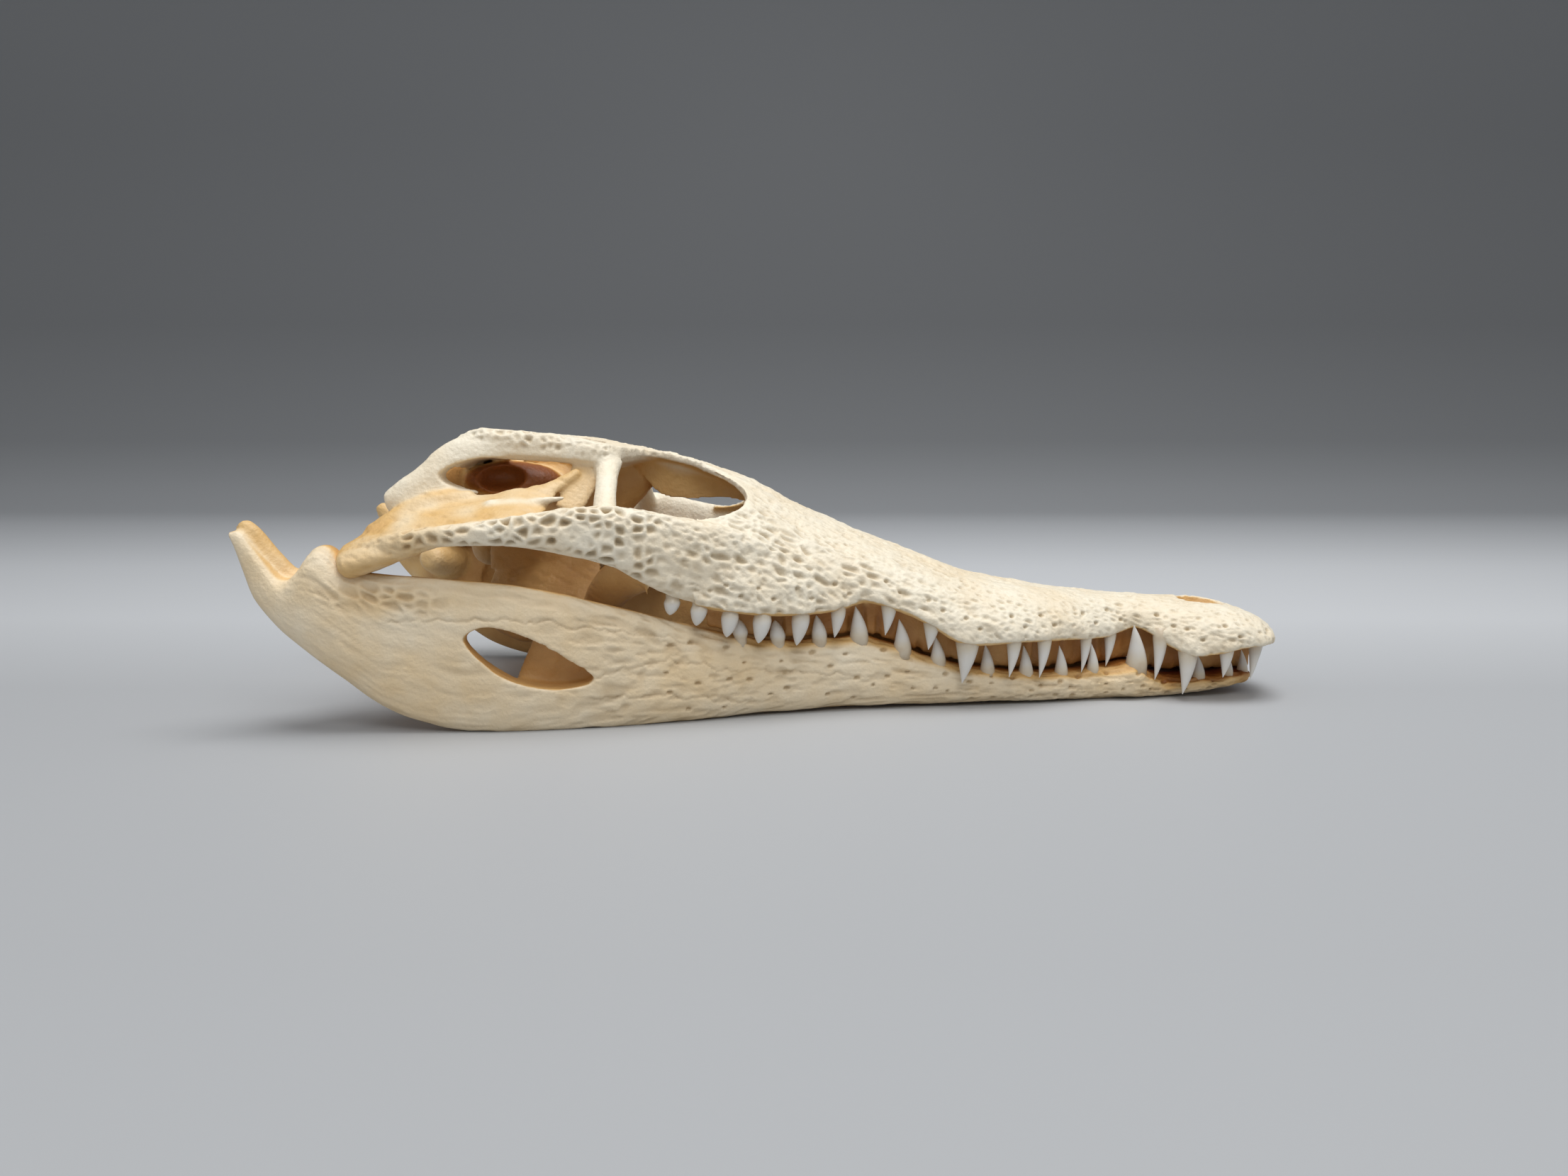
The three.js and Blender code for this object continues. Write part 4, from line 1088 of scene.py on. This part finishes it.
def grain_noise(nodes, links, place, scale, detail):
    texture = nodes.new("ShaderNodeTexNoise")
    texture.inputs["Scale"].default_value = scale
    texture.inputs["Detail"].default_value = detail
    links.new(place, texture.inputs["Vector"])
    return texture.outputs["Fac"]


def point_value(nodes, name):
    """The value that a mesh keeps at its points under this name."""
    node = nodes.new("ShaderNodeAttribute")
    node.attribute_name = name
    return node.outputs["Fac"]


def blank_material(name):
    """A new material, its nodes, its links, its shader and the place on the object."""
    made = bpy.data.materials.new(name)
    made.use_nodes = True
    nodes, links = made.node_tree.nodes, made.node_tree.links
    place = nodes.new("ShaderNodeTexCoord").outputs["Object"]
    return made, nodes, links, nodes["Principled BSDF"], place


BONE_COLOURS = [
    (0.0, (0.87, 0.79, 0.63)), (0.2, (0.8, 0.62, 0.38)), (0.4, (0.72, 0.46, 0.18)),
    (0.7, (0.42, 0.165, 0.03)), (1.0, (0.17, 0.03, 0.004)),
]
# Painted shade in the pits: the colour is multiplied towards this brown, more in deeper pits.
PIT_SHADE_COLOUR = (0.42, 0.33, 0.2)
PIT_SHADE = 0.62
MOTTLE_SCALE = 140
MOTTLE_SHARE = 0.16
FINE_GRAIN_SCALE = 900
FINE_GRAIN_HEIGHT = 0.0004
FINE_GRAIN_STRENGTH = 0.7
BONE_ROUGHNESS = (0.4, 0.25)
TOOTH_COLOURS = [(0.1, (0.72, 0.7, 0.66)), (0.6, (0.66, 0.58, 0.45)), (1.0, (0.42, 0.24, 0.08))]
TOOTH_STREAK_SCALE = 260
TOOTH_STREAK_SHARE = 0.35
TOOTH_ROUGHNESS = 0.32


def bone_material():
    """Cream bone, stained by region with painted shade in places, darker in its pits with painted shade,
    with a fine grain.
    """
    made, nodes, links, shader, place = blank_material("dry_bone")
    stain_and_shade = point_value(nodes, "stain_and_shade")
    painted_pit_shade = point_value(nodes, "painted_pit_shade")
    mottle = maths(nodes, links, "SUBTRACT", grain_noise(nodes, links, place, MOTTLE_SCALE, 5), 0.5)
    mixed = maths(nodes, links, "MULTIPLY_ADD", mottle, MOTTLE_SHARE, stain_and_shade)
    ramp = colour_ramp(nodes, BONE_COLOURS)
    links.new(mixed, ramp.inputs["Fac"])
    shade = nodes.new("ShaderNodeMix")
    shade.data_type = "RGBA"
    shade.blend_type = "MULTIPLY"
    shade.inputs["B"].default_value = (*PIT_SHADE_COLOUR, 1)
    links.new(maths(nodes, links, "MULTIPLY", painted_pit_shade, PIT_SHADE), shade.inputs["Factor"])
    links.new(ramp.outputs["Color"], shade.inputs["A"])
    links.new(shade.outputs["Result"], shader.inputs["Base Color"])
    fine = grain_noise(nodes, links, place, FINE_GRAIN_SCALE, 4)
    smoothest, spread = BONE_ROUGHNESS
    links.new(maths(nodes, links, "MULTIPLY_ADD", fine, spread, smoothest), shader.inputs["Roughness"])
    bump = nodes.new("ShaderNodeBump")
    bump.inputs["Strength"].default_value = FINE_GRAIN_STRENGTH
    bump.inputs["Distance"].default_value = FINE_GRAIN_HEIGHT
    links.new(fine, bump.inputs["Height"])
    links.new(bump.outputs["Normal"], shader.inputs["Normal"])
    return made


def tooth_material():
    """Grey-white enamel, yellower towards the root."""
    made, nodes, links, shader, place = blank_material("enamel")
    streak = grain_noise(nodes, links, place, TOOTH_STREAK_SCALE, 4)
    root = point_value(nodes, "root")
    mixed = maths(nodes, links, "MULTIPLY_ADD", streak, TOOTH_STREAK_SHARE, root)
    ramp = colour_ramp(nodes, TOOTH_COLOURS)
    links.new(mixed, ramp.inputs["Fac"])
    links.new(ramp.outputs["Color"], shader.inputs["Base Color"])
    shader.inputs["Roughness"].default_value = TOOTH_ROUGHNESS
    return made


# The object

skull = cranium()
carve_cranium(skull)
skull.finish()
jaws = [mandible("mandible_right", -1), mandible("mandible_left", 1)]
for jaw in jaws:
    carve_jaw(jaw)
    jaw.points[:, 2] = np.maximum(jaw.points[:, 2], 0)
    jaw.finish()
upper_teeth = [upper_tooth(*t, reach) for t, reach in zip(PREMAXILLA_TEETH, PREMAXILLA_TOOTH_REACH)]
upper_teeth += [upper_tooth(*t) for t in MAXILLA_TEETH]
lower_teeth = [lower_tooth(*t) for t in DENTARY_TEETH]
uppers = tooth_row("upper_teeth", upper_teeth)
lowers = tooth_row("lower_teeth", lower_teeth)

bone = bone_material()
enamel = tooth_material()
for piece in [skull.object, *[jaw.object for jaw in jaws]]:
    piece.data.materials.clear()
    piece.data.materials.append(bone)
    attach(piece, "root")
for piece in (uppers, lowers):
    piece.data.materials.append(enamel)
    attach(piece, "root")
JAW_NODES = {side: [f"dentary_{side}", f"hind_jaw_{side}"] for side in ("right", "left")}
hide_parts(*JAW_NODES["right"])
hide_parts(*JAW_NODES["left"])
jaw_nodes = JAW_NODES["right"] + JAW_NODES["left"]
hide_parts(*[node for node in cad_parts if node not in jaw_nodes])

# Floor, light and camera

FLOOR_ROWS_Y = [-2.0, -0.5, 0, 0.4]
SWEEP_Y = 1.1
SWEEP_RADIUS = 0.7
SWEEP_TOP = 3.0
SWEEP_HALF_WIDTH = 4.0
# Painted light on the floor: a lighter pool a little way behind the object, and painted shade darkening the
# far floor and the wall.
SWEEP_PAINTED_LIGHT_TONES = [
    (0.2, 0.42), (0.25, 0.47), (0.29, 0.64), (0.35, 0.68), (0.465, 0.6), (0.58, 0.42), (0.64, 0.29),
    (0.75, 0.22), (0.92, 0.24),
]
SWEEP_TINT = (0.975, 1.0, 1.03)
SWEEP_RANGE = (-1.0, 3.0)
FLOOR_ROUGHNESS = 0.5
FLOOR_SPECULAR = 0.25
SKY_COLOUR = (0.95, 0.97, 1.0, 1)
SKY_STRENGTH = 0.42
KEY_LIGHT = {"place": (0.12, -0.1, 1.15), "target": (0, 0, 0.03), "size": (0.8, 0.6), "power": 10}
FILL_LIGHT = {"place": (0.1, -0.75, 0.85), "target": (0, 0, 0.04), "size": (0.6, 0.4), "power": 2.5}


def studio_sweep():
    """A pale floor that curves up into a wall behind, darkened by painted shade."""
    a = np.linspace(0, math.pi / 2, 24)
    bend_y = SWEEP_Y + SWEEP_RADIUS * np.sin(a)
    bend_z = SWEEP_RADIUS * (1 - np.cos(a))
    y = np.concatenate([FLOOR_ROWS_Y, bend_y, [SWEEP_Y + SWEEP_RADIUS]])
    z = np.concatenate([np.zeros(len(FLOOR_ROWS_Y)), bend_z, [SWEEP_TOP]])
    count = len(y)
    points = []
    for x in (-SWEEP_HALF_WIDTH, SWEEP_HALF_WIDTH):
        points += [[x, v, w] for v, w in zip(y, z)]
    faces = [[i, count + i, count + i + 1, i + 1] for i in range(count - 1)]
    made = mesh_object("floor", (np.array(points), faces))
    smooth(made.data)
    return made


def floor_material():
    """Plain satin grey, with a painted pool of light a little way behind the object and painted shade darker
    beyond.
    """
    made, nodes, links, shader, place = blank_material("floor_grey")
    split = nodes.new("ShaderNodeSeparateXYZ")
    links.new(place, split.inputs["Vector"])
    reach = maths(nodes, links, "ADD", split.outputs["Y"], split.outputs["Z"])
    share = nodes.new("ShaderNodeMapRange")
    share.inputs["From Min"].default_value = SWEEP_RANGE[0]
    share.inputs["From Max"].default_value = SWEEP_RANGE[1]
    links.new(reach, share.inputs["Value"])
    stops = [(at, [tone * t for t in SWEEP_TINT]) for at, tone in SWEEP_PAINTED_LIGHT_TONES]
    ramp = colour_ramp(nodes, stops)
    links.new(share.outputs["Result"], ramp.inputs["Fac"])
    links.new(ramp.outputs["Color"], shader.inputs["Base Color"])
    shader.inputs["Roughness"].default_value = FLOOR_ROUGHNESS
    shader.inputs["Specular IOR Level"].default_value = FLOOR_SPECULAR
    return made


def area_light(name, place, target, size, power):
    lamp = bpy.data.lights.new(name, "AREA")
    lamp.shape = "RECTANGLE"
    lamp.size, lamp.size_y = size
    lamp.energy = power
    made = bpy.data.objects.new(name, lamp)
    bpy.context.scene.collection.objects.link(made)
    made.location = place
    made.rotation_euler = (Vector(target) - Vector(place)).to_track_quat("-Z", "Y").to_euler()
    return made


floor = studio_sweep()
floor.data.materials.append(floor_material())
world = bpy.data.worlds.new("studio")
world.use_nodes = True
sky = world.node_tree.nodes["Background"]
sky.inputs["Color"].default_value = SKY_COLOUR
sky.inputs["Strength"].default_value = SKY_STRENGTH
bpy.context.scene.world = world
area_light("key", **KEY_LIGHT)
area_light("fill", **FILL_LIGHT)

CAMERA_AT = (-3.5, -370, 81.5)
CAMERA_PITCH = 7.15
CAMERA_FOCUS_PX = 1534
PHOTO_WIDTH = 2212
SENSOR = 36
CLIP_START = 0.01
lens = bpy.data.cameras.new("camera")
lens.sensor_width = SENSOR
lens.lens = SENSOR * CAMERA_FOCUS_PX / PHOTO_WIDTH
lens.clip_start = CLIP_START
camera = bpy.data.objects.new("camera", lens)
camera.location = [c * MM for c in CAMERA_AT]
camera.rotation_euler = (math.radians(90 - CAMERA_PITCH), 0, 0)
bpy.context.scene.collection.objects.link(camera)
bpy.context.scene.camera = camera
bpy.context.scene.view_settings.view_transform = "Standard"
